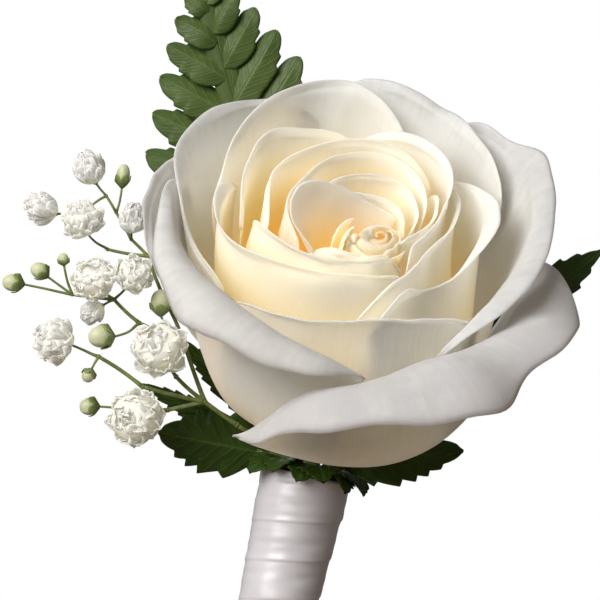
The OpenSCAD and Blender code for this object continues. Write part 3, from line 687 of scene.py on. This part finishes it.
# %% Make the leaves
Leaf = namedtuple("Leaf", "name foot reach width roll bare")
LEAVES = [
    Leaf("leaf_left", (-4.2, -1.4), (-93, -13.5, 18), 55, 78, 0.12),
    Leaf("leaf_right", (3.6, -2.4), (97, -41, 13.5), 47.5, 70, 0.1),
    Leaf("leaf_behind", (2.4, 2.4), (208, -40, 162), 55, 75, 0.3),
    Leaf("leaf_narrow_low", (-4.6, 0.2), (-103, -11, 53.5), 18, 80, 0.3),
    Leaf("leaf_narrow_high", (-3, 1.8), (-81, -14.5, 88.5), 21, 75, 0.3),
]
TOOTH_STEP, TOOTH_DEPTH, VEIN_DEPTH, LEAF_STALK = 2.6, 0.22, 0.07, (0.42, 0.2)
THIN_EDGE = 0.12  # the share of half a blade that thins out towards the edge


def saw_tooth(s, count, fall=0.22):
    """1 at a tooth's tip, falling fast after it and rising slowly to the next; the sine
    makes the teeth uneven."""
    part = (s * count + 0.35 * math.sin(s * 9)) % 1
    return 1 - part / fall if part < fall else (part - fall) / (1 - fall)


def add_leaf(bm, frame_of_leaf, length, width, bare, teeth, depth, fold, bend, side_veins=8,
             columns=90, rows=22):
    """One toothed blade along X in its own frame, with its stalk."""
    def shape(u, v):
        w = 2 * v - 1
        tooth = saw_tooth(u, teeth) * (1 - ease((u - 0.93) / 0.07))
        half = width / 2 * math.sin(math.pi * min(max(u, 0.02), 1) ** 0.85) ** 0.8 + 0.2 * (1 - u)
        edge = half * (1 - depth * (1 - tooth))
        vein = math.cos(math.tau * side_veins * (u - 0.22 * abs(w)))
        z = (fold * (abs(w) - 0.5) * half + bend * math.sin(math.pi * u)
             + VEIN_DEPTH * vein * math.sin(math.pi * abs(w))
             + 0.25 * noise_at(u * 3, w * 1.5, length))
        forward = 0.35 * tooth * abs(w) ** 3
        x = length * (bare + (1 - bare) * u) + forward
        return frame_of_leaf @ Vector((x, edge * w, z)), 0.0, ease((1 - abs(w)) / THIN_EDGE)

    add_grid(bm, columns, rows, shape)
    stalk = length * (bare + 0.08)
    add_tube(bm, lambda v: frame_of_leaf @ Vector((stalk * v, 0, -0.1 * v)),
             lambda v: mix(*LEAF_STALK, v), paint=1)


# Leaflets round the top of the binding: the way each points, its length and its width
COLLAR = [(-178, 6, 6), (-150, 7, 7), (-122, 6.5, 7.5), (-98, 6, 7), (-74, 6.5, 7.5),
          (-48, 6.5, 7), (-22, 7, 7), (8, 6.5, 6)]
COLLAR_R, COLLAR_DROOP, COLLAR_ROLL = 3.4, (16, 24), 14


def add_leaflet(bm, way, length, width, seed):
    turned = (stem_frame @ Matrix.Translation((0, 0, WRAP_TOP + CORE_LIP + 0.35))
              @ spin(math.radians(way), "Z") @ Matrix.Translation((COLLAR_R, 0, 0))
              @ spin(math.radians(COLLAR_DROOP[seed % 2]), "Y")
              @ spin(math.radians(COLLAR_ROLL * (-1) ** seed), "X"))
    add_leaf(bm, turned, length, width, bare=0.02, teeth=6, depth=0.2, fold=0.1, bend=1.3,
             side_veins=5, columns=40, rows=14)


for row in LEAVES:
    reach = Vector(row.reach) * LEAF_L / 100
    length, width = reach.length, row.width * LEAF_L / 100
    leaf_frame = (Matrix.Translation(on_core(row.foot, 0.7))
                  @ spin(math.atan2(reach.y, reach.x), "Z")
                  @ spin(-math.asin(reach.z / length), "Y") @ spin(math.radians(row.roll), "X"))
    bm = new_bmesh()
    teeth = max(round(length * (1 - row.bare) / TOOTH_STEP), 4)
    add_leaf(bm, leaf_frame, length, width, row.bare, teeth, TOOTH_DEPTH, fold=0.14, bend=0.5)
    for seed, (way, long, wide) in enumerate(COLLAR):
        if row.name == ("leaf_left" if abs(way) > 90 else "leaf_right"):
            add_leaflet(bm, way, long, wide, seed)
    piece(row.name + "_fine", bm, [leaf_green, stalk_green], row.name, LEAF_T * 0.6)
print("leaves:", len(LEAVES))

# %% [markdown]
# ## The fern
#
# A fern's frond is a rib with a row of side blades on each side, longest near its foot.
# Each blade is a broad oval with a few teeth and a vein down its middle. The blades overlap
# at the rib, which widens towards the tip, and that makes a florist's fern look so full.
# The blades are a little broader here than in the solid, and each is twisted on its own.

# %% Make the fern
FERN_FOOT, FERN_BARE, FERN_BOW, BOW_OVER = (0.2, 4.0), 0.43, 24.0, 98
FERN_W, PINNAE = 1.4, 7
PINNA_ANGLE, PINNA_TURN, RIB_ANGLE = 55.0, 2.0, 106.5
FERN_WING, PINNA_W, PINNA_FULL, PINNA_TWIST = 1.8, (1.8, 0.27), 1.22, -14.0
PINNA_TOOTH_STEP, PINNA_TOOTH_DEPTH, TIP_PINNA = 3.2, 0.16, (8, 2.4)
fern_low = on_core(FERN_FOOT, 0.1)


def rib_x(z):
    return fern_low.x - FERN_BOW * max((z - fern_low.z) / BOW_OVER, 0) ** 1.25


def pinna_z(k):
    low = fern_low.z + FERN_BARE * (FERN_TOP - fern_low.z)
    return low + (FERN_TOP - low - 5) * (1 - (1 - k / PINNAE) ** 1.25)


def pinna_len(k):
    return PINNA_L * (1 - k / PINNAE) ** 0.85 * (0.8 if k < 1 else 1)


def add_pinna(bm, place, angle, length, width, side, seed):
    """One side blade: a broad pointed oval with a few teeth, a sunk vein and a twist."""
    turn = (Matrix.Translation(place) @ spin(-math.radians(angle), "Y")
            @ spin(math.radians(PINNA_TWIST * side), "X"))
    teeth = max(round(length / PINNA_TOOTH_STEP), 2)

    def shape(u, v):
        w = 2 * v - 1
        tooth = saw_tooth(u + 0.03 * math.copysign(1, w), teeth, 0.3)
        half = width / 2 * math.sin(math.pi * max(u, 0.001) ** 0.8) ** 0.62 + 0.1
        edge = half * (1 - PINNA_TOOTH_DEPTH * (1 - tooth) * min(1, 3 * u)
                       * (1 - ease((u - 0.9) / 0.1)))
        bow = side * length * 0.05 * u * u
        y = (0.28 * abs(w) * half - 0.5 * math.sin(math.pi * u)
             + 0.5 * noise_at(u * 1.8, w * 0.8, seed))
        return (turn @ Vector((length * u + 0.3 * tooth * abs(w) ** 4, y, edge * w + bow)), 0.0,
                ease((1 - abs(w)) / THIN_EDGE))

    add_grid(bm, max(30, round(length * 4)), 14, shape)


def rib_half(s):
    """Half the width of the frond's middle at share s of its height."""
    return FERN_W / 2 * (1 - 0.7 * s) + FERN_WING * math.sin(math.pi * max(s - 0.55, 0) / 0.45)


def wing(u, v):
    z, w = mix(fern_low.z, FERN_TOP, u), 2 * v - 1
    edge = rib_half(u) * (1 + 0.12 * noise_at(u * 40, w, 3))
    return Vector((rib_x(z) + edge * w, fern_y + 0.25 * abs(w), z)), 0.0, ease((1 - abs(w)) / 0.3)


bm = new_bmesh()
fern_y = fern_low.y
for k in range(PINNAE):
    for side in (-1, 1):
        z = pinna_z(k + (0.3 if side > 0 else 0))
        add_pinna(bm, Vector((rib_x(z), fern_y - 0.12 * (k % 2), z)),
                  RIB_ANGLE - side * (PINNA_ANGLE - PINNA_TURN * k), pinna_len(k),
                  PINNA_FULL * (PINNA_W[0] + pinna_len(k) * PINNA_W[1]), side, k * 2 + side)
z = FERN_TOP - 7
add_pinna(bm, Vector((rib_x(z), fern_y, z)), RIB_ANGLE - 1, *TIP_PINNA, 0, 50)
add_grid(bm, 120, 8, wing)
add_tube(bm, lambda v: Vector((rib_x(mix(fern_low.z, FERN_TOP - 5, v)), fern_y + 0.1,
                               mix(fern_low.z, FERN_TOP - 5, v))),
         lambda v: FERN_W / 2 * (0.8 - 0.65 * v))
piece("fern_fine", bm, [fern_green], "fern", LEAF_T * 0.5)
print("side blades:", 2 * PINNAE + 1)

# %% [markdown]
# ## Baby's breath: the twigs
#
# The spray is a small tree. Each row of the table is a fork, with the number of the fork
# below it. A twig tapers from fork to fork, bends a little, and swells at each joint.

# %% Make the twigs
SPRAY_FOOT = (-3.4, -3.2)
FORKS = [
    (0, 0, 0, 0), (-15, -7, 10.5, 0), (-24.5, -11, 17.5, 1), (-31, -12, 36, 2),
    (-36.5, -11, 48, 3), (-41.5, -11, 61, 4), (-46.5, -9, 66, 5), (-51, -8, 74, 6),
    (-54, -8, 79, 7), (-43, -15, 22, 2), (-56, -17, 31, 9), (-44, -13, 41, 3),
    (-51.5, -13.5, 48, 11), (-64, -14, 49.5, 12), (-53.5, -10.5, 63, 5), (-33, -14, 25, 2),
    (-35.5, -10, 15, 2)]
Bloom = namedtuple("Bloom", "name fork centre radius length way")
FLOWERS = [
    Bloom("flower_top", 8, (-59.5, -11, 88), 2.8, 0, (-0.4, -0.3, 0.85)),
    Bloom("flower_far_left", 8, (-74, -13, 75.5), 2.8, 0, (-0.85, -0.35, 0.3)),
    Bloom("flower_upper", 14, (-61.5, -17, 73), 3, 0, (-0.3, -0.5, 0.8)),
    Bloom("flower_by_rose", 6, (-45.5, -15, 73), 2.6, 0, (0.15, -0.5, 0.85)),
    Bloom("flower_middle", 12, (-58, -21, 55), 3.2, 0, (-0.3, -0.8, 0.5)),
    Bloom("flower_middle_right", 12, (-45, -23.5, 56.5), 2.8, 0, (0.3, -0.75, 0.6)),
    Bloom("flower_cup", 12, (-58.5, -14.5, 44), 2.1, 0, (-0.8, -0.1, -0.5)),
    Bloom("flower_open", 15, (-38.5, -22, 34.5), 4, 0, (-0.2, -0.85, 0.45)),
    Bloom("flower_low_left", 10, (-70.5, -19.5, 36), 3.2, 0, (-0.85, -0.4, 0.2)),
    Bloom("flower_bottom", 16, (-46, -20.5, 13), 4, 0, (-0.4, -0.85, 0.1))]
BUDS = [
    Bloom("bud_top", 7, (-49, -7.5, 85), 1.1, 3.6, (0.1, 0, 1)),
    Bloom("bud_far_left", 13, (-81.5, -15, 53), 1.4, 3.3, (-1, 0, 0.15)),
    Bloom("bud_left", 13, (-73.5, -16, 56.5), 1.3, 3, (-0.8, -0.1, 0.6)),
    Bloom("bud_small", 13, (-66.5, -17.5, 60), 0.85, 1.9, (-0.1, -0.2, 1)),
    Bloom("bud_white", 11, (-55, -20, 37), 1.8, 4, (-1, -0.4, 0)),
    Bloom("bud_green", 10, (-59, -18.5, 25.5), 1.05, 2.2, (-0.4, -0.2, -0.8)),
    Bloom("bud_low", 16, (-59, -9, 16), 1.4, 3, (-1, 0.05, 0)),
    Bloom("bud_by_rose", 3, (-37.5, -17.5, 47), 1.6, 4, (0, -0.2, 0.95))]


def in_spray(place):
    return on_core(SPRAY_FOOT, TWIG_R) + Vector(place[:3]) * SPRAY_H / 100


def bloom_foot(row):
    """Where a flower or a bud meets its twig; a flower has no length of its own."""
    low = row.radius * 1.1 if row.length == 0 else row.length / 2
    return in_spray(row.centre) - low * Vector(row.way).normalized()


def add_twig(bm, low, high, r_low, r_high, seed, arrive=None):
    """A tapering twig from low to high, which ends along arrive if that is given."""
    reach = high - low
    side = reach.cross(Vector((0, 1, 0))).normalized()
    sway = 0.05 * reach.length * noise_at(seed * 1.7, 0.3, 0.9)
    turn_in = Vector() if arrive is None else -arrive.normalized() * reach.length * 0.3

    def path(v):
        straight = low + reach * v + side * sway * math.sin(math.pi * v)
        return straight + turn_in * math.sin(math.pi * v) * v * 0.8

    add_tube(bm, path, lambda v: mix(r_low, r_high, v) * (1 + 0.25 * math.exp(-v * 12)))


THICK_TWIG, THIN_TWIG, STALK_TIP, THINNER, KNOT = 0.38, 0.2, 0.17, 0.025, 1.35
twig_r_at = [THICK_TWIG]
for fork in FORKS[1:]:
    twig_r_at.append(max(twig_r_at[fork[3]] - THINNER, THIN_TWIG))
bm = new_bmesh()
for k, fork in enumerate(FORKS[1:], 1):
    add_twig(bm, in_spray(FORKS[fork[3]]), in_spray(fork), twig_r_at[fork[3]], twig_r_at[k], k)
    bmesh.ops.create_icosphere(bm, subdivisions=2, radius=twig_r_at[k] * KNOT,
                               matrix=Matrix.Translation(in_spray(fork)))
for k, row in enumerate(FLOWERS + BUDS):
    add_twig(bm, in_spray(FORKS[row.fork]), bloom_foot(row), twig_r_at[row.fork] * 0.9,
             STALK_TIP, k + 40, Vector(row.way))
piece("baby_breath_twigs_fine", bm, [stalk_green], "baby_breath_twigs")
print("twigs:", len(FORKS) - 1 + len(FLOWERS) + len(BUDS))

# %% [markdown]
# ## Baby's breath: the flowers and buds
#
# A double flower of baby's breath is a loose fan of some thirty tiny petals in a green
# cup. One petal is a grid with a narrow foot, a broad wavy tip and a curl. The petals stand
# in whorls round a pale core, the outer ones leaning out and the inner ones upright, and in
# a flower that is half open they all lean less. A bud is a closed pointed drop whose folds
# wind round it, in a cup with five teeth.

# %% Flower paint
flower_white = Paint("flower_white", {
    "Subsurface Weight": 0.6, "Subsurface Radius": (1.0, 0.95, 0.75), "Subsurface Scale": 0.001,
    "Specular IOR Level": 0.2, "Emission Strength": 1.0})
warm = flower_white.attribute("warmth")
# The glow is painted light: it lifts the shade between the tiny petals, most at their feet and in
# the core, in place of light soaking through them.
flower_white.set(colour=flower_white.ramp(warm, [
    (0.0, (0.72, 0.71, 0.66)), (0.5, (0.68, 0.67, 0.54)), (1.0, (0.42, 0.46, 0.20))]),
    glow=flower_white.ramp(warm, [(0.0, (0.03, 0.03, 0.027)), (0.25, (0.12, 0.118, 0.09)),
                                  (0.6, (0.16, 0.15, 0.09))]), roughness=0.6)
bud_green = Paint("bud_green", {"Subsurface Weight": 0.2, "Subsurface Scale": 0.0006,
                                "Subsurface Radius": (0.8, 1.0, 0.4)})
warm = bud_green.attribute("warmth")
speckle = bud_green.cloud(bud_green.place(), 1500.0, 3.0)
bud_green.set(colour=bud_green.ramp(warm + (speckle - 0.5) * 0.15, [
    (0.0, (0.60, 0.60, 0.45)), (0.4, (0.36, 0.40, 0.19)), (0.75, (0.16, 0.21, 0.06)),
    (1.0, (0.08, 0.12, 0.03))]), roughness=0.5)
bud_green.bump(speckle, 0.2, 0.0001)

# %% Make the flowers
# How many petals a whorl has, how far they lean, and their length and width in radii
WHORLS = [(7, 74, 1.22, 0.85), (7, 58, 1.42, 0.85), (6, 42, 1.54, 0.82), (6, 28, 1.62, 0.78),
          (4, 14, 1.64, 0.70)]
FLOWER_CORE = [(0, 0.1), (0.35, 0.18), (0.78, 0.80), (0.86, 1.25), (0.6, 1.52), (0, 1.6)]
HALF_OPEN = ("flower_top", "flower_far_left", "flower_by_rose", "flower_cup")
HALF_LEAN, HALF_LENGTH, LEAN_SHAKE = 0.62, 1.1, 14
CUP_R, CUP_H, CUP_TEETH = 0.42, 0.75, 0.4


def facing(place, way):
    """The frame whose Z axis runs along way, set down at place."""
    way = Vector(way).normalized()
    return (Matrix.Translation(place) @ spin(math.atan2(way.y, way.x), "Z")
            @ spin(math.acos(way.z), "Y"))


def add_floret_petal(bm, frame_of_petal, length, width, curl, seed):
    def shape(u, v):
        w = 2 * u - 1
        broad = width / 2 * (0.3 + 0.7 * ease(v * 1.3)) * (1 - 0.35 * max(v - 0.75, 0) / 0.25)
        reach = length * (v - 0.05 * v * math.cos(4 * math.pi * w) * max(v - 0.6, 0)
                          - 0.14 * v * w * w)
        lift = 0.14 * length * math.sin(math.pi * v) - 0.16 * width * w * w
        ruffle = 0.2 * length * v * v * noise_at(w * 1.9, v * 1.3, seed * 1.3)
        drop = curl * length * v ** 3
        out = Vector((broad * w, -lift - ruffle + drop, reach))
        return frame_of_petal @ out, 0.6 * (1 - v) ** 2, ease((1 - v) / 0.2)

    add_grid(bm, 10, 9, shape)


def add_spun(bm, frame_of_it, profile, sides, shape=None, warm=0.5):
    """A closed round form from a profile of radius and height, shaped further by shape."""
    rows = 4 * (len(profile) - 1)
    radii, heights = [p[0] for p in profile], [p[1] for p in profile]

    def place(u, v):
        angle = math.tau * u
        r, z = max(along(radii, v), 0.0), along(heights, v)
        if shape:
            r, z, heat = shape(angle, v, r, z)
        else:
            heat = warm
        return frame_of_it @ polar(r, angle, z), heat, 1.0

    made = add_grid(bm, sides, rows, place)
    bmesh.ops.remove_doubles(bm, verts=made, dist=0.002)
    made = [vert for vert in made if vert.is_valid]
    bmesh.ops.recalc_face_normals(bm, faces=list({f for v in made for f in v.link_faces}))


def add_cup(bm, frame_of_it, radius, height, teeth_long, sides=20):
    """The green cup with five teeth, open at its top."""
    def shape(u, v):
        angle = math.tau * u
        tooth = ease(abs(math.cos(2.5 * angle)))
        r = radius * math.sin(math.pi / 2 * min(1, 0.12 + v * 1.1)) * (1 + 0.06 * v)
        z = height * v * (1 - teeth_long * (1 - tooth) * v)
        return frame_of_it @ polar(r, angle, z), 0.72 + 0.2 * (1 - v), 1.0

    made = add_grid(bm, sides, 7, shape)
    bmesh.ops.remove_doubles(bm, verts=made, dist=0.002)


for number, row in enumerate(FLOWERS):
    r = row.radius
    flower_frame = facing(bloom_foot(row), row.way)
    lean_share, longer = (HALF_LEAN, HALF_LENGTH) if row.name in HALF_OPEN else (1.0, 1.0)
    bm = new_bmesh()
    for ring, (count, tilt, reach, width) in enumerate(WHORLS):
        for k in range(count):
            shake = noise_at(number * 5.1 + ring * 2.3, k * 1.9, 0.4)
            angle = math.tau * (k + ring * 0.37 + 0.25 * shake) / count
            lean = math.radians(
                tilt * lean_share + LEAN_SHAKE * noise_at(k * 2.7, ring * 3.1, number))
            start = r * (0.16 * lean_share ** 2 + 0.03 * ring)
            spot = (flower_frame @ spin(angle, "Z") @ Matrix.Translation((0.1 * r, 0, start))
                    @ spin(lean, "Y") @ spin(math.pi / 2, "Z"))
            long = reach * r * (0.92 + 0.12 * shake) * longer
            add_floret_petal(bm, spot, long, width * r, 0.16 + 0.12 * shake,
                             number * 31 + ring * 7 + k)
    core_frame = flower_frame @ Matrix.Scale(r * (0.5 + 0.45 * lean_share), 4)
    add_spun(bm, core_frame, FLOWER_CORE, 20, warm=0.25)
    piece(row.name + "_fine", bm, [flower_white], row.name, 0.1, 0.5)
    bm = new_bmesh()
    add_cup(bm, flower_frame, CUP_R * r, CUP_H * r, CUP_TEETH)
    piece(row.name + "_cup", bm, [bud_green], row.name, 0.15, 0.5)
print("flowers:", len(FLOWERS))

# %% Make the buds
BUD_CURVE = [(0, 0), (0.3, 0.02), (0.75, 0.2), (1, 0.5), (0.85, 0.78), (0.45, 0.96), (0, 1)]
BUD_R, BUD_CUP_H, BUD_TEETH = 0.97, 0.55, 0.5


def bud_shape(radius, length):
    def shape(angle, v, r, z):
        fold = (angle / math.tau * 3 + v * 0.9) % 1
        return r * radius * (0.9 + 0.1 * fold), z * length, 0.35 - 0.3 * v + 0.12 * fold
    return shape


for number, row in enumerate(BUDS):
    bm = new_bmesh()
    frame_of_bud = facing(bloom_foot(row), row.way)
    add_spun(bm, frame_of_bud, BUD_CURVE, 30, bud_shape(row.radius * BUD_R, row.length))
    piece(row.name + "_fine", bm, [bud_green], row.name)
    bm = new_bmesh()
    add_cup(bm, frame_of_bud, row.radius, row.length * BUD_CUP_H, BUD_TEETH)
    piece(row.name + "_cup", bm, [bud_green], row.name, 0.12, 0.5)
print("buds:", len(BUDS))

# %% [markdown]
# ## The rose's own stem
#
# Under the petals sits a green cup with five pointed sepals, on a stalk that bends into
# the bound stems. It hardly shows from the front, but a flower is looked at from all
# sides. The cup is a spun profile, and each sepal is a curved pointed grid.

# %% Make the rose's stem
CUP_DEPTH = 9.0
SEPALS, SEPAL_L, SEPAL_HALF_W, SEPAL_LOW, SEPAL_DROOP = 5, 9, 1.75, 2.5, 0.84
cone_r = FOOT_R - PETAL_T / 2 - 0.3
cone_top = FOOT_Z + LAYERS * LAYER_UP + 0.2
cup_profile = [
    (0, FOOT_Z - CUP_DEPTH), (PEDICEL_R + 0.1, FOOT_Z - CUP_DEPTH), (cone_r * 0.7, FOOT_Z - 7),
    (cone_r * 0.92, FOOT_Z - 4.4), (cone_r + 0.1, FOOT_Z - 2), (cone_r, FOOT_Z - 0.3),
    (cone_r - LAYERS * LAYER_IN, cone_top - 0.2), (0, cone_top)]
bm = new_bmesh()
add_spun(bm, rose_frame, cup_profile, 36)
for k in range(SEPALS):
    turned = rose_frame @ spin(math.radians(360 / SEPALS * k + 18), "Z")

    def sepal(u, v):
        w = 2 * u - 1
        half = SEPAL_HALF_W * (1 - v) ** 0.7 * (0.8 + 0.5 * v)
        r = cone_r - 1 + SEPAL_L * v
        z = FOOT_Z - SEPAL_LOW - SEPAL_DROOP * v - 0.5 * v * v + 0.12 * w * w * half
        return turned @ Vector((r, half * w, z)), 0.5, ease((1 - abs(w)) / 0.2)

    add_grid(bm, 10, 20, sepal, 1)
bend = stem_frame @ Vector((0, 0, WRAP_TOP + CORE_LIP + 1))
cup_foot = rose_frame @ Vector((0, 0, FOOT_Z + 1 - CUP_DEPTH))
stalk_foot = stem_frame @ Vector((0, 0, WRAP_TOP + CORE_LIP + 1 - SOCKET_DEPTH))


def stalk_path(v):
    """Up out of the socket and round the bend into the cup."""
    a, b = stalk_foot.lerp(bend, min(v * 2, 1)), bend.lerp(cup_foot, max(v * 2 - 1, 0))
    round_off = ease(1 - abs(2 * v - 1) / 0.25) * 0.12 if abs(2 * v - 1) < 0.25 else 0
    return (a if v < 0.5 else b).lerp((stalk_foot + cup_foot) / 2, round_off)


add_tube(bm, stalk_path, lambda v: PEDICEL_R, 20)
rose_green = grained_paint(
    "rose_green", {"Specular IOR Level": 0.35, "Subsurface Weight": 0.08,
                   "Subsurface Scale": 0.0006}, (500.0, 4.0), 0.15, 0.3,
    [(0.2, (0.05, 0.09, 0.015)), (0.55, (0.13, 0.20, 0.04)), (0.85, (0.24, 0.30, 0.09))])
piece("rose_stem_fine", bm, [rose_green, leaf_green], "rose_stem")
print("sepals:", SEPALS)

# %% [markdown]
# ## The satin ribbon
#
# The stems are bound with satin ribbon, wound downwards so that each turn laps over the
# one before. A helix gives the lapping edge: the height of a point plus its share of a
# turn, divided by the height of a turn, says how far across the ribbon it lies. Winding
# pulls faint wrinkles along the ribbon. Satin has long threads, so its paint has very
# fine lines along the wind and a soft gloss.

# %% Make the ribbon
LAP_SHARE, WRINKLES, SLACK, RIBBON_GRID = 0.45, 0.07, 0.16, (112, 260)
turn_count = math.ceil((WRAP_TOP + WRAP_DOWN) / TURN_H)
turn_h = (WRAP_TOP + WRAP_DOWN) / turn_count


def wrap_radius(h):
    return WRAP_R + WRAP_TAPER * h


def ribbon_shape(u, v):
    angle = math.tau * u
    h = mix(-WRAP_DOWN, WRAP_TOP, v)
    wind = (WRAP_TOP - h) / turn_h + u
    across = wind % 1
    lap = LAP_SHARE * TURN_STEP * across ** 1.5 * ease((1 - across) / 0.08)
    wrinkle = WRINKLES * noise.noise(polar(1.2, angle, wind * 5))
    slack = SLACK * noise.noise(polar(1, angle, wind * 1.7))
    ends = min(ease((1 - v) / 0.01), 1)
    r = wrap_radius(h) + (lap + wrinkle + slack) * ends - 0.02
    return stem_frame @ polar(r, angle, h), 0.0, 1.0


bm = new_bmesh()
made = add_grid(bm, *RIBBON_GRID, ribbon_shape)
bmesh.ops.remove_doubles(bm, verts=made, dist=0.001)
bmesh.ops.recalc_face_normals(bm, faces=bm.faces[:])
satin = Paint("satin", {"Specular IOR Level": 0.9, "Coat Weight": 0.25, "Coat Roughness": 0.25})
spot = satin.place()
threads = satin.node("ShaderNodeTexWave", {"bands_direction": "Z"}, {
    "Vector": spot, "Scale": 2600.0, "Distortion": 0.6}, output="Fac")
cloudy = satin.cloud(spot, 130.0, 3.0)
satin.set(colour=satin.blend(cloudy, (0.54, 0.52, 0.55), (0.64, 0.625, 0.655)),
          roughness=0.28 + cloudy * 0.1)
satin.bump(threads * 0.3 + cloudy * 0.7, 0.12, 0.0003)
ribbon = piece("ribbon_wrap_fine", bm, [satin], "ribbon_wrap", RIBBON_T, 1.0)
ribbon.modifiers["wall"].offset = -1
print("turns of ribbon:", turn_count)

# %% [markdown]
# ## Bound stems and pin
#
# Two solids are right as they are: the bundle of cut stems and the straight steel pin.
# They keep their solids and get a better finish. The stems are streaked along their
# length, and the steel is drawn along the pin.

# %% Finish the stems and the pin
stem_paint = Paint("cut_stems", {"Specular IOR Level": 0.3})
where = stem_paint.place()
grain = stem_paint.cloud(where, 800.0, 4.0)
patch = stem_paint.cloud(where, 150.0, 2.0)
stem_paint.set(colour=stem_paint.ramp(grain * 0.5 + patch * 0.5, [
    (0.25, (0.06, 0.10, 0.02)), (0.5, (0.16, 0.22, 0.05)), (0.75, (0.36, 0.40, 0.16))]),
    roughness=0.5 + grain * 0.2)
stem_paint.bump(grain, 0.3, 0.0003)
pin_paint = Paint("pin_steel", {"Metallic": 1.0})
drawn = pin_paint.cloud(pin_paint.place(), 1800.0, 3.0)
pin_paint.set(colour=pin_paint.blend(drawn, (0.62, 0.63, 0.65), (0.78, 0.79, 0.80)),
              roughness=0.16 + drawn * 0.14)
pin_paint.bump(drawn, 0.08, 0.0001)
for name, paint in (("stem_core", stem_paint), ("lapel_pin", pin_paint)):
    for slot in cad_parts[name].material_slots:
        slot.material = paint.material
print("kept solids: stem_core, lapel_pin")

# %% [markdown]
# ## Light and floor
#
# The photograph is lit by one large soft window from the upper left, with a weaker glow
# all round. The floor is a pale disc under the stem, and the background is white.

# %% Light and floor


def softbox(name, place, aim, size, power, colour=(1, 1, 1)):
    light = bpy.data.lights.new(name, "AREA")
    light.shape = "SQUARE"
    light.size = size
    light.energy = power
    light.color = colour
    made = bpy.data.objects.new(name, light)
    made.location = Vector(place)
    made.rotation_euler = (Vector(aim) - Vector(place)).to_track_quat("-Z", "Y").to_euler()
    scene.collection.objects.link(made)


rose_middle = (0.008, -0.03, 0.04)
ROOM_GLOW, FLOOR_RADIUS = 0.15, 0.3
softbox("window", (-0.58, -0.84, 0.62), rose_middle, 0.9, 22.5, (1, 0.985, 0.96))
softbox("back_light", (-0.25, 0.9, 0.5), rose_middle, 0.6, 3.5)

world = bpy.data.worlds.new("white_room")
world.use_nodes = True
scene.world = world
nodes, links = world.node_tree.nodes, world.node_tree.links
room = nodes["Background"]
room.inputs["Color"].default_value = (1, 1, 1, 1)
room.inputs["Strength"].default_value = ROOM_GLOW
backdrop = nodes.new("ShaderNodeBackground")
backdrop.inputs["Color"].default_value = (1, 1, 1, 1)
backdrop.inputs["Strength"].default_value = 1.0
choose = nodes.new("ShaderNodeMixShader")
links.new(nodes.new("ShaderNodeLightPath").outputs["Is Camera Ray"], choose.inputs[0])
links.new(room.outputs[0], choose.inputs[1])
links.new(backdrop.outputs[0], choose.inputs[2])
links.new(choose.outputs[0], nodes["World Output"].inputs[0])

# The floor is pale only to the camera. To the light that bounces off it, it is a dim warm brown,
# which sets the warm shade under the rose.
floor_paint = Paint("pale_floor", {"Roughness": 0.9})
seen = floor_paint.node("ShaderNodeLightPath", output="Is Camera Ray")
floor_paint.set(colour=floor_paint.blend(seen, (0.21, 0.16, 0.12), (0.88, 0.88, 0.88)))
bm = bmesh.new()
bmesh.ops.create_circle(bm, cap_ends=True, segments=96, radius=FLOOR_RADIUS)
bmesh.ops.translate(bm, verts=bm.verts[:], vec=(0, 0, cad_bounds[0][2] - MM))
mesh = bpy.data.meshes.new("floor")
bm.to_mesh(mesh)
bm.free()
mesh.materials.append(floor_paint.material)
floor = bpy.data.objects.new("floor", mesh)
scene.collection.objects.link(floor)
